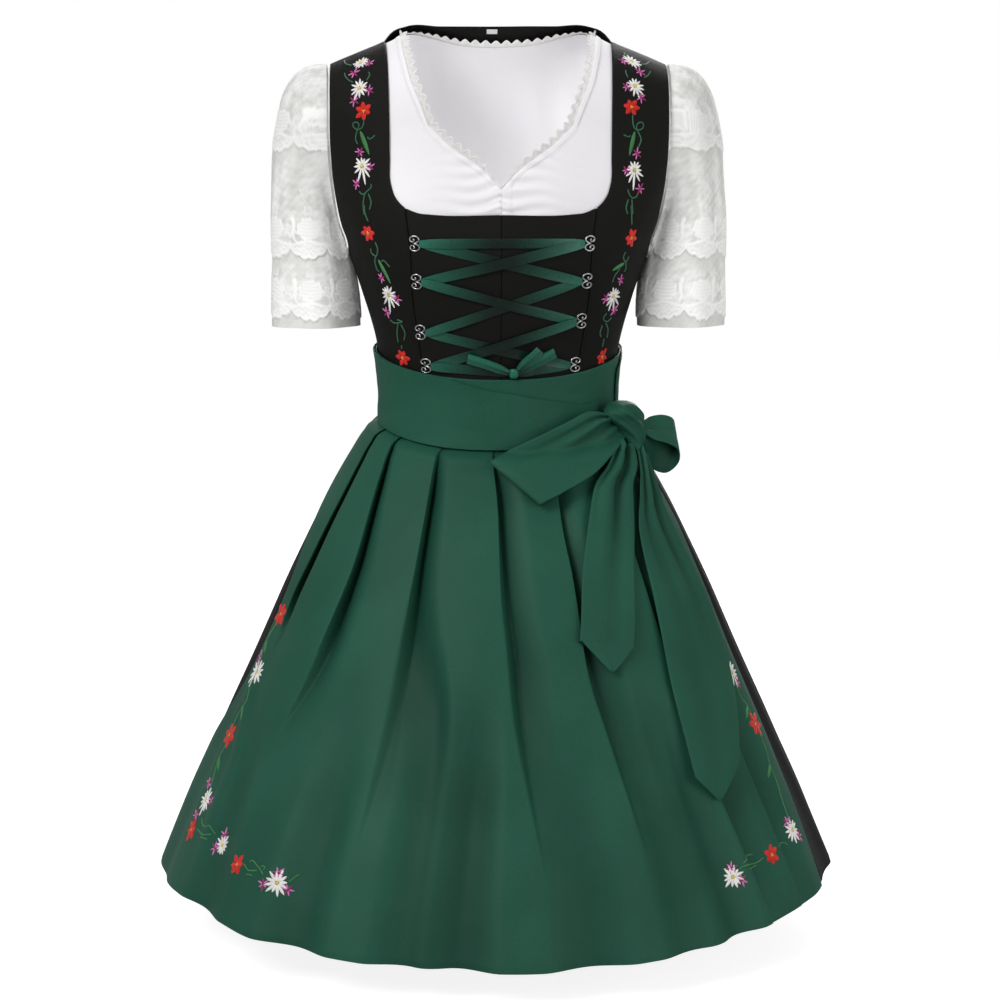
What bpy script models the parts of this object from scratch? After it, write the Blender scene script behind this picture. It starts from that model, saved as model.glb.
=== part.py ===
"""Dirndl set: a cropped lace-sleeved blouse, a laced bodice with a pleated skirt, and a pleated apron with a bow.

Metres, +Z up. The set faces -Y. Names say left for -X and right for +X, as they are seen from the front.
The origin is midway between the shoulders at their height. The cloth hangs hollow, as it does when it is worn.
"""

import math

import bmesh
import bpy
import numpy as np

for old in list(bpy.data.objects):
    bpy.data.objects.remove(old, do_unlink=True)

# ---------------------------------------------------------------- driving dimensions, in metres and degrees

SEAM_GAP = 0.0003
SIDES = {"left": -1, "right": 1}
FRONT = -1
BACK = 1

# The general figure inside the cloth. Each row is a level section, from the hips up to the chest line.
FIGURE = np.array([
    # height, half_width, front_depth, back_depth
    (-0.400, 0.1180, 0.0930, 0.0870),
    (-0.370, 0.1165, 0.0895, 0.0845),
    (-0.335, 0.1160, 0.0880, 0.0835),
    (-0.300, 0.1190, 0.0920, 0.0855),
    (-0.280, 0.1225, 0.0965, 0.0870),
    (-0.240, 0.1335, 0.1070, 0.0930),
    (-0.188, 0.1515, 0.1185, 0.1010),
    (-0.140, 0.1700, 0.1180, 0.1050),
    (-0.090, 0.1860, 0.1090, 0.1040),
    (-0.060, 0.1930, 0.1030, 0.1010),
])
FIGURE_SQUARENESS = 2.3
CHEST_LINE = -0.060

# Height of the shoulder ridge at each distance from the middle, and the ridge's place behind the origin.
RIDGE = np.array([
    # distance, height
    (0.000, 0.0850),
    (0.060, 0.0600),
    (0.090, 0.0370),
    (0.100, 0.0300),
    (0.115, 0.0223),
    (0.145, 0.0100),
    (0.174, -0.0025),
    (0.190, -0.0100),
])
RIDGE_Y = 0.012
SHOULDER_ROUNDING = 0.93

# Where the back of each garment's neck edge lies; outside the last row the back ends at the shoulder seam.
BODICE_BACK_NECK = np.array([
    # distance, y, height
    (0.0000, 0.0580, 0.0400),
    (0.0600, 0.0480, 0.0395),
    (0.0940, 0.0300, 0.0385),
    (0.1075, 0.0190, 0.0320),
    (0.1150, 0.0120, 0.0223),
])
BLOUSE_BACK_NECK = np.array([
    # distance, y, height
    (0.0000, 0.0725, 0.0200),
    (0.0400, 0.0675, 0.0230),
    (0.0725, 0.0510, 0.0310),
    (0.0900, 0.0310, 0.0335),
    (0.1000, 0.0120, 0.0300),
])
BACK_NECK_SLOPE_DIP = 0.040

# Edges as distance from the middle at each level. Above the chest line a level of 0 is the shoulder seam.
ARMHOLE = np.array([
    # level, distance
    (-0.190, 0.1508),
    (-0.180, 0.1525),
    (-0.160, 0.1600),
    (-0.132, 0.1660),
    (-0.080, 0.1715),
    (-0.040, 0.1725),
    (0.000, 0.1740),
])
PRINCESS_SEAM = np.array([
    # level, distance
    (-0.360, 0.0705),
    (-0.309, 0.0760),
    (-0.277, 0.0800),
    (-0.235, 0.0860),
    (-0.182, 0.0890),
    (-0.141, 0.0940),
])
BODICE_NECKLINE = np.array([
    # level, distance
    (-0.1410, 0.0940),
    (-0.1370, 0.0990),
    (-0.1300, 0.1045),
    (-0.1180, 0.1087),
    (-0.0900, 0.1100),
    (-0.0600, 0.1105),
    (-0.0300, 0.1120),
    (0.0000, 0.1150),
])
BODICE_TOP = np.array([
    # distance, level
    (0.000, -0.1475),
    (0.070, -0.1470),
    (0.083, -0.1455),
    (0.094, -0.1410),
])
BLOUSE_NECKLINE = np.array([
    # level, distance
    (-0.1220, 0.0005),
    (-0.1120, 0.0095),
    (-0.1025, 0.0175),
    (-0.0890, 0.0330),
    (-0.0700, 0.0580),
    (-0.0573, 0.0745),
    (-0.0440, 0.0890),
    (-0.0325, 0.0945),
    (0.0000, 0.1000),
])
BLOUSE_HEM = -0.250
UNDERARM = -0.190
BODICE_ARMHOLE_INSET = 0.0028

# Layers, as distances out from the figure.
BLOUSE_LAYER = (0.0000, 0.0010)
BODICE_LAYER = (0.0026, 0.0041)
LABEL_LAYER = (0.0009, 0.0015)
WAISTBAND_LAYER = (0.0061, 0.0073)
TIE_LAYER = (0.0085, 0.0099)

# The waistband's lower edge and the hem are lower in front than at the sides, and a little higher behind.
BAND_HEIGHT = 0.072
BAND_SIDE_BOTTOM = -0.362
BAND_FRONT_DROP = 0.024
BACK_RISE_SHARE = 0.4
WAIST_SEAM_ABOVE_BAND_BOTTOM = 0.030
WAIST_SEAM_GAP = 0.0009
BAND_HALF_ANGLE = 96.0
BAND_COLUMN_STEP = 8
SEAM_LEVEL = -0.345

# How far the skirt stands out from the figure at each drop below the waistband.
FLARE = np.array([
    # drop, flare
    (0.000, 0.0012),
    (0.005, 0.0120),
    (0.014, 0.0200),
    (0.035, 0.0335),
    (0.056, 0.0460),
    (0.088, 0.0640),
    (0.130, 0.0850),
    (0.173, 0.1055),
    (0.216, 0.1245),
    (0.259, 0.1435),
    (0.302, 0.1630),
    (0.346, 0.1825),
    (0.389, 0.2020),
    (0.433, 0.2205),
    (0.500, 0.2480),
])
FRONT_FLARE_SHARE = 0.95
BACK_FLARE_SHARE = 0.985
HEM_SQUARENESS = 2.0
SKIRT_HEM = -0.836
SKIRT_HEM_FRONT_DROP = 0.016
APRON_HEM = -0.829
APRON_HEM_FRONT_DROP = 0.036
SKIRT_WALL = 0.0012
APRON_LIFT = 0.0016
APRON_WALL = 0.0012
APRON_TUCK = 0.010
APRON_EDGES = {"left": (-76.0, -88.0), "right": (72.0, 70.0)}

# Pleats and the larger soft folds: troughs that run from waist to hem. Their angles are from the middle of
# the front, positive to +X; start and end are shares of the way down.
FOLDS = [
    # at_waist, at_hem, start, end, depth, width_at_waist, width_at_hem
    (-69.0, -69.0, 0.03, 0.45, 0.011, 3.5, 4.0),
    (-51.0, -46.5, 0.03, 0.68, 0.013, 4.0, 5.0),
    (-25.0, -24.5, 0.03, 0.75, 0.012, 3.5, 4.5),
    (-15.0, -16.0, 0.35, 1.20, 0.009, 3.5, 3.5),
    (-2.0, 7.0, 0.03, 0.85, 0.012, 3.5, 4.5),
    (18.5, 24.5, 0.03, 0.85, 0.012, 3.5, 4.5),
    (33.0, 32.0, 0.45, 1.20, 0.009, 3.0, 3.5),
    (43.0, 41.0, 0.40, 1.20, 0.010, 4.0, 4.5),
    (58.0, 56.0, 0.03, 0.90, 0.010, 4.5, 4.5),
    (81.0, 80.0, 0.03, 1.20, 0.010, 4.0, 4.5),
    (103.0, 101.0, 0.03, 1.20, 0.012, 5.0, 5.0),
    (124.0, 121.0, 0.03, 0.90, 0.013, 4.5, 5.5),
    (145.0, 146.0, 0.03, 1.20, 0.012, 5.0, 5.0),
    (168.0, 166.0, 0.03, 1.20, 0.014, 4.5, 5.5),
    (191.0, 193.0, 0.03, 0.95, 0.012, 5.0, 5.0),
    (212.0, 211.0, 0.03, 1.20, 0.014, 4.5, 5.5),
    (235.0, 238.0, 0.03, 1.20, 0.012, 5.0, 5.0),
    (256.0, 257.0, 0.03, 0.85, 0.013, 4.5, 5.0),
]
FOLD_FADE = 0.10
SKIRT_ROWS = (0.012, 0.08, 0.20, 0.36, 0.56, 0.80)
PLAIN_COLUMN_STEP = 14.0
LEAST_COLUMN_STEP = 0.8

# Sleeve: from the armhole over a rounded cap to a level, slightly flattened cuff.
CUFF_CENTRE = (0.1895, 0.008, -0.266)
CUFF_RADIUS_X = 0.0480
CUFF_RADIUS_Y = 0.0540
SLEEVE_COLUMNS = 14
SLEEVE_ROWS = 7
SLEEVE_SEAM_STEP = 0.0022
SLEEVE_UNDERARM_STEP = 0.0035
SLEEVE_UNDERARM_RISE = 0.0070
SLEEVE_COLLAR = 0.0060
SLEEVE_UNDERARM_REACH = 0.004
SLEEVE_CAP_REACH = 0.050
SLEEVE_OUTER_PULL = 0.185
SLEEVE_INNER_PULL = 0.030
SLEEVE_WALL = 0.0010

# Lace edging round the blouse's neck.
NECK_LACE_WIDTH = 0.0085
NECK_LACE_GAP = 0.0004
NECK_LACE_RISE_STEP = 0.003
NECK_LACE_LAYER = (0.0000, 0.0010)
NECK_LACE_LEVELS = (-0.089, -0.074, CHEST_LINE, -0.046, -0.030, -0.012, 0.0)

# Bodice rows up to the top of the princess seam; None is the waist seam.
SEAM_LEVELS = (None, -0.300, -0.255, -0.215, -0.190, -0.165, -0.141)
CENTRE_FRONT_COLUMNS = 6
BACK_COLUMNS = 8
LABEL_SPAN = (-0.0100, 0.0010)
LABEL_LEVELS = (-0.0045, -0.0012)

# Lacing: wire hooks beside the princess seams, and one satin ribbon between them that ends in a small bow.
HOOKS = {
    # name: (x, height)
    "left_1": (-0.0845, -0.1753),
    "left_2": (-0.0825, -0.2130),
    "left_3": (-0.0785, -0.2650),
    "left_4": (-0.0730, -0.3000),
    "right_1": (0.0865, -0.1753),
    "right_2": (0.0840, -0.2125),
    "right_3": (0.0790, -0.2535),
    "right_4": (0.0735, -0.2990),
}
HOOK_HALF_WIDTH = 0.0034
HOOK_HALF_HEIGHT = 0.0062
HOOK_WIRE_RADIUS = 0.0006
HOOK_CROSSING_LIFT = 0.0008
HOOK_STATIONS = 14
HOOK_SIDES = 4
LACING_ORDER = ("left_4", "right_3", "left_2", "right_1", "left_1", "right_2", "left_3", "right_4")
LACING_STRANDS_ON_TOP = 4
LACING_SHARES = (0.0, 0.15, 0.32, 0.50, 0.68, 0.85, 1.0)
LACING_TOP_RISE = (0.20, 0.42)
LACING_UNDER_RISE = (0.60, 0.95)
LACING_LIFTS = (0.0054, 0.0072)
LACING_HOOK_CLEARANCE = 0.0060
LACING_TURN_RADIUS = 0.0010
RIBBON_WIDTH = 0.010
RIBBON_THICKNESS = 0.0006
LACING_BOW = (0.0125, -0.3060)
LACING_BOW_HALF = 0.0040
LACING_KNOT_LIFT = 0.0092
LACING_KNOT = [
    # height, half_width, half_depth
    (-0.0050, 0.0030, 0.0020),
    (-0.0025, 0.0045, 0.0034),
    (0.0025, 0.0045, 0.0034),
    (0.0050, 0.0030, 0.0020),
]
LACING_BOW_PIECES = {
    "lacing_bow_loop_left": [
        # x, height, lift
        (0.0077, -0.3050, 0.0084),
        (-0.0150, -0.2960, 0.0084),
        (-0.0320, -0.2900, 0.0096),
        (-0.0150, -0.2955, 0.0110),
        (0.0077, -0.3045, 0.0100),
    ],
    "lacing_bow_loop_right": [
        # x, height, lift
        (0.0173, -0.3045, 0.0084),
        (0.0370, -0.2930, 0.0084),
        (0.0520, -0.2845, 0.0096),
        (0.0370, -0.2925, 0.0110),
        (0.0173, -0.3040, 0.0100),
    ],
    "lacing_end": [
        # x, height, lift
        (0.0166, -0.3020, 0.0120),
        (0.0240, -0.2925, 0.0140),
        (0.0310, -0.2860, 0.0145),
        (0.0370, -0.2800, 0.0135),
    ],
}

# The apron's ties start at the ends of the waistband, cross at the middle of the back and come round to the
# knot, one over the front of the band. Shares are of the band's height, from its lower edge.
TIES = {
    "apron_tie_left": [
        # angle, low_share, high_share, near, far
        (-96.2, 0.00, 1.00, *WAISTBAND_LAYER),
        (-152.0, 0.10, 1.00, *WAISTBAND_LAYER),
        (-168.0, 0.52, 1.00, *WAISTBAND_LAYER),
        (-192.0, 0.52, 1.00, *TIE_LAYER),
        (-208.0, 0.10, 1.00, *TIE_LAYER),
        (-264.0, 0.00, 1.00, *TIE_LAYER),
        (-286.0, 0.15, 0.80, *TIE_LAYER),
    ],
    "apron_tie_right": [
        # angle, low_share, high_share, near, far
        (96.2, 0.00, 1.00, *WAISTBAND_LAYER),
        (152.0, 0.00, 0.90, *WAISTBAND_LAYER),
        (168.0, 0.00, 0.48, *WAISTBAND_LAYER),
        (192.0, 0.00, 0.48, *TIE_LAYER),
        (208.0, 0.00, 0.90, *TIE_LAYER),
        (264.0, 0.00, 1.00, *TIE_LAYER),
        (336.0, 0.00, 1.00, *TIE_LAYER),
        (400.0, 0.02, 0.53, *TIE_LAYER),
        (411.0, 0.10, 0.50, *TIE_LAYER),
    ],
}

# The bow beside the front: a knot, two loops and two tails of the same satin.
KNOT_ANGLE = 60.0
KNOT_FACING = 55.0
KNOT = [
    # height, lift, half_along, half_out
    (-0.3870, 0.0380, 0.0090, 0.0080),
    (-0.3810, 0.0350, 0.0145, 0.0130),
    (-0.3700, 0.0310, 0.0190, 0.0165),
    (-0.3570, 0.0290, 0.0210, 0.0175),
    (-0.3450, 0.0285, 0.0190, 0.0155),
    (-0.3380, 0.0280, 0.0120, 0.0100),
]
RIBBON_WALL = 0.0012
LOOP_ROWS = 15
TAIL_ROWS = 14
TAIL_COLUMNS = 4
LEFT_LOOP_WIDTH_WAY = (-0.60, 0.80)
LEFT_LOOP = [
    # x, height, lift, width
    (0.0868, -0.3650, 0.0190, 0.022),
    (0.0730, -0.3750, 0.0150, 0.040),
    (0.0480, -0.3910, 0.0125, 0.056),
    (0.0220, -0.4070, 0.0110, 0.060),
    (0.0130, -0.4125, 0.0150, 0.060),
    (0.0220, -0.4070, 0.0200, 0.060),
    (0.0480, -0.3905, 0.0270, 0.058),
    (0.0730, -0.3740, 0.0310, 0.042),
    (0.0868, -0.3645, 0.0290, 0.022),
]
# The right loop's mouth opens down and forward; its cloth runs up and back from the mouth's edge.
RIGHT_LOOP_DEPTH_WAY = (-0.10, 0.62, 0.78)
RIGHT_LOOP = [
    # x, y, height, depth
    (0.1482, -0.0640, -0.3720, 0.014),
    (0.1590, -0.0620, -0.3790, 0.028),
    (0.1740, -0.0560, -0.3840, 0.035),
    (0.1850, -0.0500, -0.3920, 0.038),
    (0.1850, -0.0460, -0.4060, 0.038),
    (0.1730, -0.0450, -0.4160, 0.036),
    (0.1580, -0.0500, -0.4110, 0.030),
    (0.1520, -0.0600, -0.3960, 0.020),
    (0.1475, -0.0640, -0.3860, 0.012),
]
TAILS = {
    "apron_bow_tail_short": [
        # left_angle, left_height, right_angle, right_height, lift
        (52.0, -0.3875, 58.5, -0.3878, 0.0200),
        (42.0, -0.4050, 54.0, -0.4080, 0.0140),
        (30.6, -0.4260, 48.7, -0.4290, 0.0090),
        (22.1, -0.4890, 39.2, -0.4930, 0.0060),
        (18.2, -0.5590, 33.5, -0.5600, 0.0055),
        (18.0, -0.5640, 32.1, -0.5760, 0.0055),
        (24.6, -0.5950, 25.8, -0.5960, 0.0055),
    ],
    "apron_bow_tail_long": [
        # left_angle, left_height, right_angle, right_height, lift
        (59.5, -0.3875, 65.0, -0.3875, 0.0200),
        (56.5, -0.4090, 66.0, -0.4070, 0.0140),
        (52.0, -0.4300, 65.0, -0.4310, 0.0100),
        (44.5, -0.4680, 64.0, -0.4600, 0.0075),
        (41.9, -0.5310, 66.5, -0.5430, 0.0070),
        (40.3, -0.6060, 62.8, -0.6200, 0.0068),
        (39.5, -0.7020, 53.4, -0.6980, 0.0060),
        (43.6, -0.7265, 44.6, -0.7265, 0.0060),
    ],
}

# ---------------------------------------------------------------- materials

COLOURS = {
    # material: (red, green, blue), roughness, metallic
    "white_cotton": ((0.86, 0.84, 0.86), 0.85, 0.0),
    "white_lace": ((0.84, 0.84, 0.81), 0.85, 0.0),
    "black_twill": ((0.012, 0.012, 0.011), 0.80, 0.0),
    "green_satin": ((0.025, 0.090, 0.062), 0.45, 0.0),
    "green_ribbon": ((0.020, 0.100, 0.070), 0.35, 0.0),
    "silver": ((0.55, 0.55, 0.56), 0.30, 1.0),
    "white_label": ((0.85, 0.85, 0.85), 0.60, 0.0),
}


def make_material(name):
    colour, roughness, metallic = COLOURS[name]
    material = bpy.data.materials.new(name)
    material.use_nodes = True
    shader = material.node_tree.nodes["Principled BSDF"]
    shader.inputs["Base Color"].default_value = (*colour, 1.0)
    shader.inputs["Roughness"].default_value = roughness
    shader.inputs["Metallic"].default_value = metallic
    return material


MATERIALS = {name: make_material(name) for name in COLOURS}

# ---------------------------------------------------------------- curves and grids


def smooth(table, column, at):
    """A column's value at one or more places, on a smooth curve through the rows of the table."""
    keys = table[:, 0]
    values = table[:, column]
    slopes = np.gradient(values, keys)
    at = np.clip(at, keys[0], keys[-1])
    row = np.clip(np.searchsorted(keys, at) - 1, 0, len(keys) - 2)
    step = keys[row + 1] - keys[row]
    share = (at - keys[row]) / step
    rise = share * share * (3 - 2 * share)
    start_pull = share * (1 - share) ** 2 * step * slopes[row]
    end_pull = share * share * (share - 1) * step * slopes[row + 1]
    return values[row] * (1 - rise) + values[row + 1] * rise + start_pull + end_pull


def through(points, count):
    """Evenly numbered places on a smooth curve through a few points."""
    table = np.column_stack([np.arange(len(points)), np.array(points, float)])
    at = np.linspace(0, len(points) - 1, count)
    return np.stack([smooth(table, column, at) for column in range(1, table.shape[1])], axis=1)


def normals_of(points, closed, axis=(0.0, 0.0)):
    """Unit normals of a grid of points, turned away from an upright axis, at first the wearer's."""
    down = np.gradient(points, axis=0)
    if closed:
        wrapped = np.concatenate([points[:, -1:], points, points[:, :1]], axis=1)
        across = np.gradient(wrapped, axis=1)[:, 1:-1]
    else:
        across = np.gradient(points, axis=1)
    normals = np.cross(down, across)
    normals /= np.linalg.norm(normals, axis=2, keepdims=True)
    outward = points[..., :2] - np.array(axis)
    if np.sum(normals[..., :2] * outward) < 0:
        normals = -normals
    return normals


def shell(name, near, far, material, closed=False):
    """One closed solid between two grids of points. A closed grid joins its last column to its first."""
    rows, columns = near.shape[:2]
    mesh = bmesh.new()
    layers = [[[mesh.verts.new(point) for point in row] for row in grid] for grid in (near, far)]
    spans = columns if closed else columns - 1
    for layer in layers:
        for row in range(rows - 1):
            for column in range(spans):
                after = (column + 1) % columns
                mesh.faces.new((layer[row][column], layer[row][after], layer[row + 1][after]))
                mesh.faces.new((layer[row][column], layer[row + 1][after], layer[row + 1][column]))
    rims = [[(row, column) for column in range(columns)] for row in (0, rows - 1)]
    if closed:
        rims = [rim + rim[:1] for rim in rims]
    else:
        rims += [[(row, column) for row in range(rows)] for column in (0, columns - 1)]
    for rim in rims:
        for (row_a, column_a), (row_b, column_b) in zip(rim, rim[1:]):
            corners = [layers[0][row_a][column_a], layers[0][row_b][column_b]]
            corners += [layers[1][row_b][column_b], layers[1][row_a][column_a]]
            mesh.faces.new(corners)
    return finish(name, mesh, material)


def barrel(name, rings, material):
    """A filled solid through rings of points."""
    mesh = bmesh.new()
    loops = [[mesh.verts.new(point) for point in ring] for ring in rings]
    for lower, upper in zip(loops, loops[1:]):
        for index in range(len(lower)):
            after = (index + 1) % len(lower)
            mesh.faces.new((lower[index], lower[after], upper[after], upper[index]))
    mesh.faces.new(loops[0])
    mesh.faces.new(loops[-1])
    return finish(name, mesh, material)


def finish(name, mesh, material):
    bmesh.ops.recalc_face_normals(mesh, faces=mesh.faces)
    bmesh.ops.triangulate(mesh, faces=mesh.faces)
    data = bpy.data.meshes.new(name)
    mesh.to_mesh(data)
    mesh.free()
    data.materials.append(MATERIALS[material])
    data.shade_smooth()
    data.set_sharp_from_angle(angle=math.radians(40))
    obj = bpy.data.objects.new(name, data)
    bpy.context.scene.collection.objects.link(obj)
    return obj


def wall(name, points, layer, material, closed=False, axis=(0.0, 0.0)):
    """A cloth wall on a grid of points; the layer says how far out its two faces lie."""
    normals = normals_of(points, closed, axis)
    return shell(name, points + normals * layer[0], points + normals * layer[1], material, closed)


# ---------------------------------------------------------------- the figure's surface


def power_of(value, power):
    return np.sign(value) * np.abs(value) ** power


def section_depth(distance, half_width, depth, squareness):
    share = np.clip(np.abs(distance) / half_width, 0, 1)
    return depth * (1 - share**squareness) ** (1 / squareness)


def edge_angle(distance, half_width):
    """The section angle, in radians, whose point lies at this distance from the middle."""
    share = np.clip(distance / half_width, 0, 1)
    return np.arcsin(share ** (FIGURE_SQUARENESS / 2))


def figure_half_width(level):
    return smooth(FIGURE, 1, np.minimum(level, CHEST_LINE))


def torso(x, level, side, back_neck=None):
    """Points on the figure's front or back. Levels above the chest line run over the shoulder to level 0."""
    x = np.asarray(x, float)
    level = np.asarray(level, float)
    distance = np.abs(x)
    low = np.minimum(level, CHEST_LINE)
    depth = smooth(FIGURE, 2 if side == FRONT else 3, low)
    low_y = side * section_depth(x, smooth(FIGURE, 1, low), depth, FIGURE_SQUARENESS)
    rise = np.clip((level - CHEST_LINE) / -CHEST_LINE, 0, 1)
    top_y = np.full_like(x, RIDGE_Y + side * SEAM_GAP / 2)
    top_z = smooth(RIDGE, 1, distance)
    control_z = top_z
    if back_neck is not None:
        reach = back_neck[-1, 0]
        inside = distance < reach
        dip = BACK_NECK_SLOPE_DIP * (1 - np.clip(distance / reach, 0, 1) ** 2)
        top_y = np.where(inside, smooth(back_neck, 1, distance), top_y)
        top_z = np.where(inside, smooth(back_neck, 2, distance), top_z)
        control_z = top_z - dip
    rounding = SHOULDER_ROUNDING if side == FRONT else 0.98
    first, second, third = (1 - rise) ** 2, 2 * rise * (1 - rise), rise**2
    y = low_y * (first + second * rounding) + top_y * third
    above = CHEST_LINE * first + control_z * second + top_z * third
    z = np.where(level <= CHEST_LINE, level, above)
    return np.stack([x, y, z], axis=-1)


def torso_grid(levels, inner_edge, columns, side, hand, back_neck=None, trimmed_edge=None):
    """A panel's points, row by row, from an inner edge to the side seam and the armhole.

    A level of None is the waist seam, whose height changes round the body. A trimmed edge moves the last column.
    """
    rows = []
    for level in levels:
        edge_level = SEAM_LEVEL if level is None else level
        half_width = figure_half_width(edge_level)
        start, end = edge_angle(inner_edge(edge_level), half_width), edge_angle(side_edge(edge_level), half_width)
        angles = np.linspace(start, end, columns)
        if trimmed_edge is not None:
            angles[-1] = edge_angle(trimmed_edge(edge_level), half_width)
        heights = np.full(columns, edge_level)
        if level is None:
            turns = np.degrees(angles) if side == FRONT else 180 - np.degrees(angles)
            heights = band_bottom(turns) + WAIST_SEAM_ABOVE_BAND_BOTTOM + WAIST_SEAM_GAP
            half_width = figure_half_width(heights)
        x = hand * half_width * power_of(np.sin(angles), 2 / FIGURE_SQUARENESS)
        rows.append(torso(x, heights, side, back_neck))
    grid = np.array(rows)
    seam = np.abs(grid[..., 1]) < SEAM_GAP
    grid[..., 1] = np.where(seam, side * SEAM_GAP / 2, grid[..., 1])
    return grid


def side_edge(level):
    """The side seam below the armhole, and the armhole's edge above it."""
    if level <= UNDERARM:
        return figure_half_width(level)
    return min(smooth(ARMHOLE, 1, level), figure_half_width(level))


def bodice_side_edge(level):
    """The bodice's armhole lies inside the blouse's, and meets it at the underarm."""
    return side_edge(level) - BODICE_ARMHOLE_INSET * np.clip((level - UNDERARM) / 0.02, 0, 1)


# ---------------------------------------------------------------- waist and skirt surfaces


def front_share(angle):
    """One at the middle of the front, none at the sides, and below none behind."""
    cosine = np.cos(np.radians(angle))
    even = (1 - BACK_RISE_SHARE) / 2
    return (1 - even) * cosine + even * cosine**2


def band_bottom(angle):
    return BAND_SIDE_BOTTOM - BAND_FRONT_DROP * front_share(angle)


def belt(angle, height, lift):
    """Points round the waist at angles from the middle of the front, lifted out from the figure."""
    turn = np.radians(np.asarray(angle, float))
    height = np.broadcast_to(height, turn.shape)
    depth = np.where(np.cos(turn) > 0, smooth(FIGURE, 2, height), smooth(FIGURE, 3, height))
    x = (smooth(FIGURE, 1, height) + lift) * power_of(np.sin(turn), 2 / FIGURE_SQUARENESS)
    y = -(depth + lift) * power_of(np.cos(turn), 2 / FIGURE_SQUARENESS)
    return np.stack([x, y, height], axis=-1)


def hem_drop(angle, side_height=SKIRT_HEM, front_drop=SKIRT_HEM_FRONT_DROP):
    return band_bottom(angle) - side_height + front_drop * front_share(angle)


def fold_angle(at_waist, at_hem, way):
    """Pleats leave the waist at one angle and settle early to the one they keep down to the hem."""
    return at_hem + (at_waist - at_hem) * (1 - np.clip(way, 0, 1)) ** 3


def fold_depth(angle, way):
    """How far the cloth is folded in at an angle and a share of the way down."""
    total = np.zeros(np.broadcast(angle, way).shape)
    for at_waist, at_hem, start, end, depth, width_at_waist, width_at_hem in FOLDS:
        centre = fold_angle(at_waist, at_hem, way)
        width = width_at_waist + (width_at_hem - width_at_waist) * way
        away = (np.asarray(angle) - centre + 180) % 360 - 180
        grown = np.clip((way - start) / FOLD_FADE, 0, 1) * np.clip((end - way) / FOLD_FADE, 0, 1)
        total += depth * grown * np.clip(1 - np.abs(away) / width, 0, 1)
    return total


def skirt(angle, drop, lift, folded=True):
    """Points on the skirt at angles from the middle of the front and drops below the waistband."""
    angle = np.asarray(angle, float)
    drop = np.broadcast_to(drop, angle.shape)
    turn = np.radians(angle)
    bottom = band_bottom(angle)
    waist_height = np.maximum(bottom, bottom - drop)
    flare = smooth(FLARE, 1, drop)
    way = np.clip(drop / hem_drop(angle), 0, 1)
    squareness = FIGURE_SQUARENESS + (HEM_SQUARENESS - FIGURE_SQUARENESS) * np.clip(way * 2, 0, 1)
    front = np.cos(turn) > 0
    depth = np.where(front, smooth(FIGURE, 2, waist_height), smooth(FIGURE, 3, waist_height))
    depth = depth + flare * np.where(front, FRONT_FLARE_SHARE, BACK_FLARE_SHARE)
    half_width = smooth(FIGURE, 1, waist_height) + flare
    x = half_width * power_of(np.sin(turn), 2 / squareness)
    y = -depth * power_of(np.cos(turn), 2 / squareness)
    radius = np.hypot(x, y)
    inward = fold_depth(angle, way) if folded else 0.0
    scale = (radius - inward + lift) / radius
    return np.stack([x * scale, y * scale, bottom - drop], axis=-1)


def over_skirt(x, height, lift):
    """Points over the front of the waist and skirt, clear of the folds, placed by x and height."""
    x = np.asarray(x, float)
    height = np.asarray(height, float)
    angle = np.degrees(np.arcsin(np.clip(x / (figure_half_width(height) + 0.01), -1, 1)))
    for _ in range(12):
        point = skirt(angle, band_bottom(angle) - height, 0.0, folded=False)
        reach = np.hypot(point[..., 0], point[..., 1])
        angle = angle + np.degrees((x - point[..., 0]) / reach) / np.maximum(np.cos(np.radians(angle)), 0.3)
    return skirt(angle, band_bottom(angle) - height, lift, folded=False)


def apron_edge(way, name):
    at_waist, at_hem = APRON_EDGES[name]
    return at_waist + (at_hem - at_waist) * way


def skirt_angles(start, end, way, edges=()):
    """Sorted marks at a share of the way down: the ends, each fold's bottom and lips, and the apron's edges."""
    marks = [start, end, *(apron_edge(way, name) for name in edges)]
    for at_waist, at_hem, _, _, _, width_at_waist, width_at_hem in FOLDS:
        if start < at_waist < end:
            centre = fold_angle(at_waist, at_hem, way)
            width = width_at_waist + (width_at_hem - width_at_waist) * way
            marks += [centre - width, centre, centre + width]
    marks.sort()
    for index in range(1, len(marks) - 1):
        marks[index] = max(marks[index], marks[index - 1] + LEAST_COLUMN_STEP)
    return marks


def skirt_columns(start, end, ways, edges=()):
    """Column angles at each share of the way down, with plain columns between marks that are far apart.

    The columns of the apron's edges are returned with them.
    """
    marks = np.array([skirt_angles(start, end, way, edges) for way in ways])
    columns = [marks[:, 0]]
    at_mark = [0]
    for before, after in zip(marks.T, marks.T[1:]):
        pieces = max(1, math.ceil(np.max(after - before) / PLAIN_COLUMN_STEP))
        columns += [before + (after - before) * piece / pieces for piece in range(1, pieces + 1)]
        at_mark.append(len(columns) - 1)
    edge_columns = [at_mark[int(np.argmin(np.abs(marks[0] - apron_edge(ways[0], name))))] for name in edges]
    return np.array(columns).T, edge_columns


# ---------------------------------------------------------------- blouse


def build_blouse():
    levels = [BLOUSE_HEM, -0.220, UNDERARM, -0.160, BLOUSE_NECKLINE[0, 0], -0.105, *NECK_LACE_LEVELS]
    for name, hand in SIDES.items():
        grid = torso_grid(levels, blouse_inner_edge, 6, FRONT, hand)
        wall(f"blouse_front_{name}", grid, BLOUSE_LAYER, "white_cotton")
    levels = [BLOUSE_HEM, -0.220, UNDERARM, -0.150, -0.105, CHEST_LINE, -0.038, -0.018, 0.0]
    wall("blouse_back", back_grid(levels, BLOUSE_BACK_NECK), BLOUSE_LAYER, "white_cotton")
    for name, hand in SIDES.items():
        build_sleeve(name, hand)
    build_neck_lace()


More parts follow.
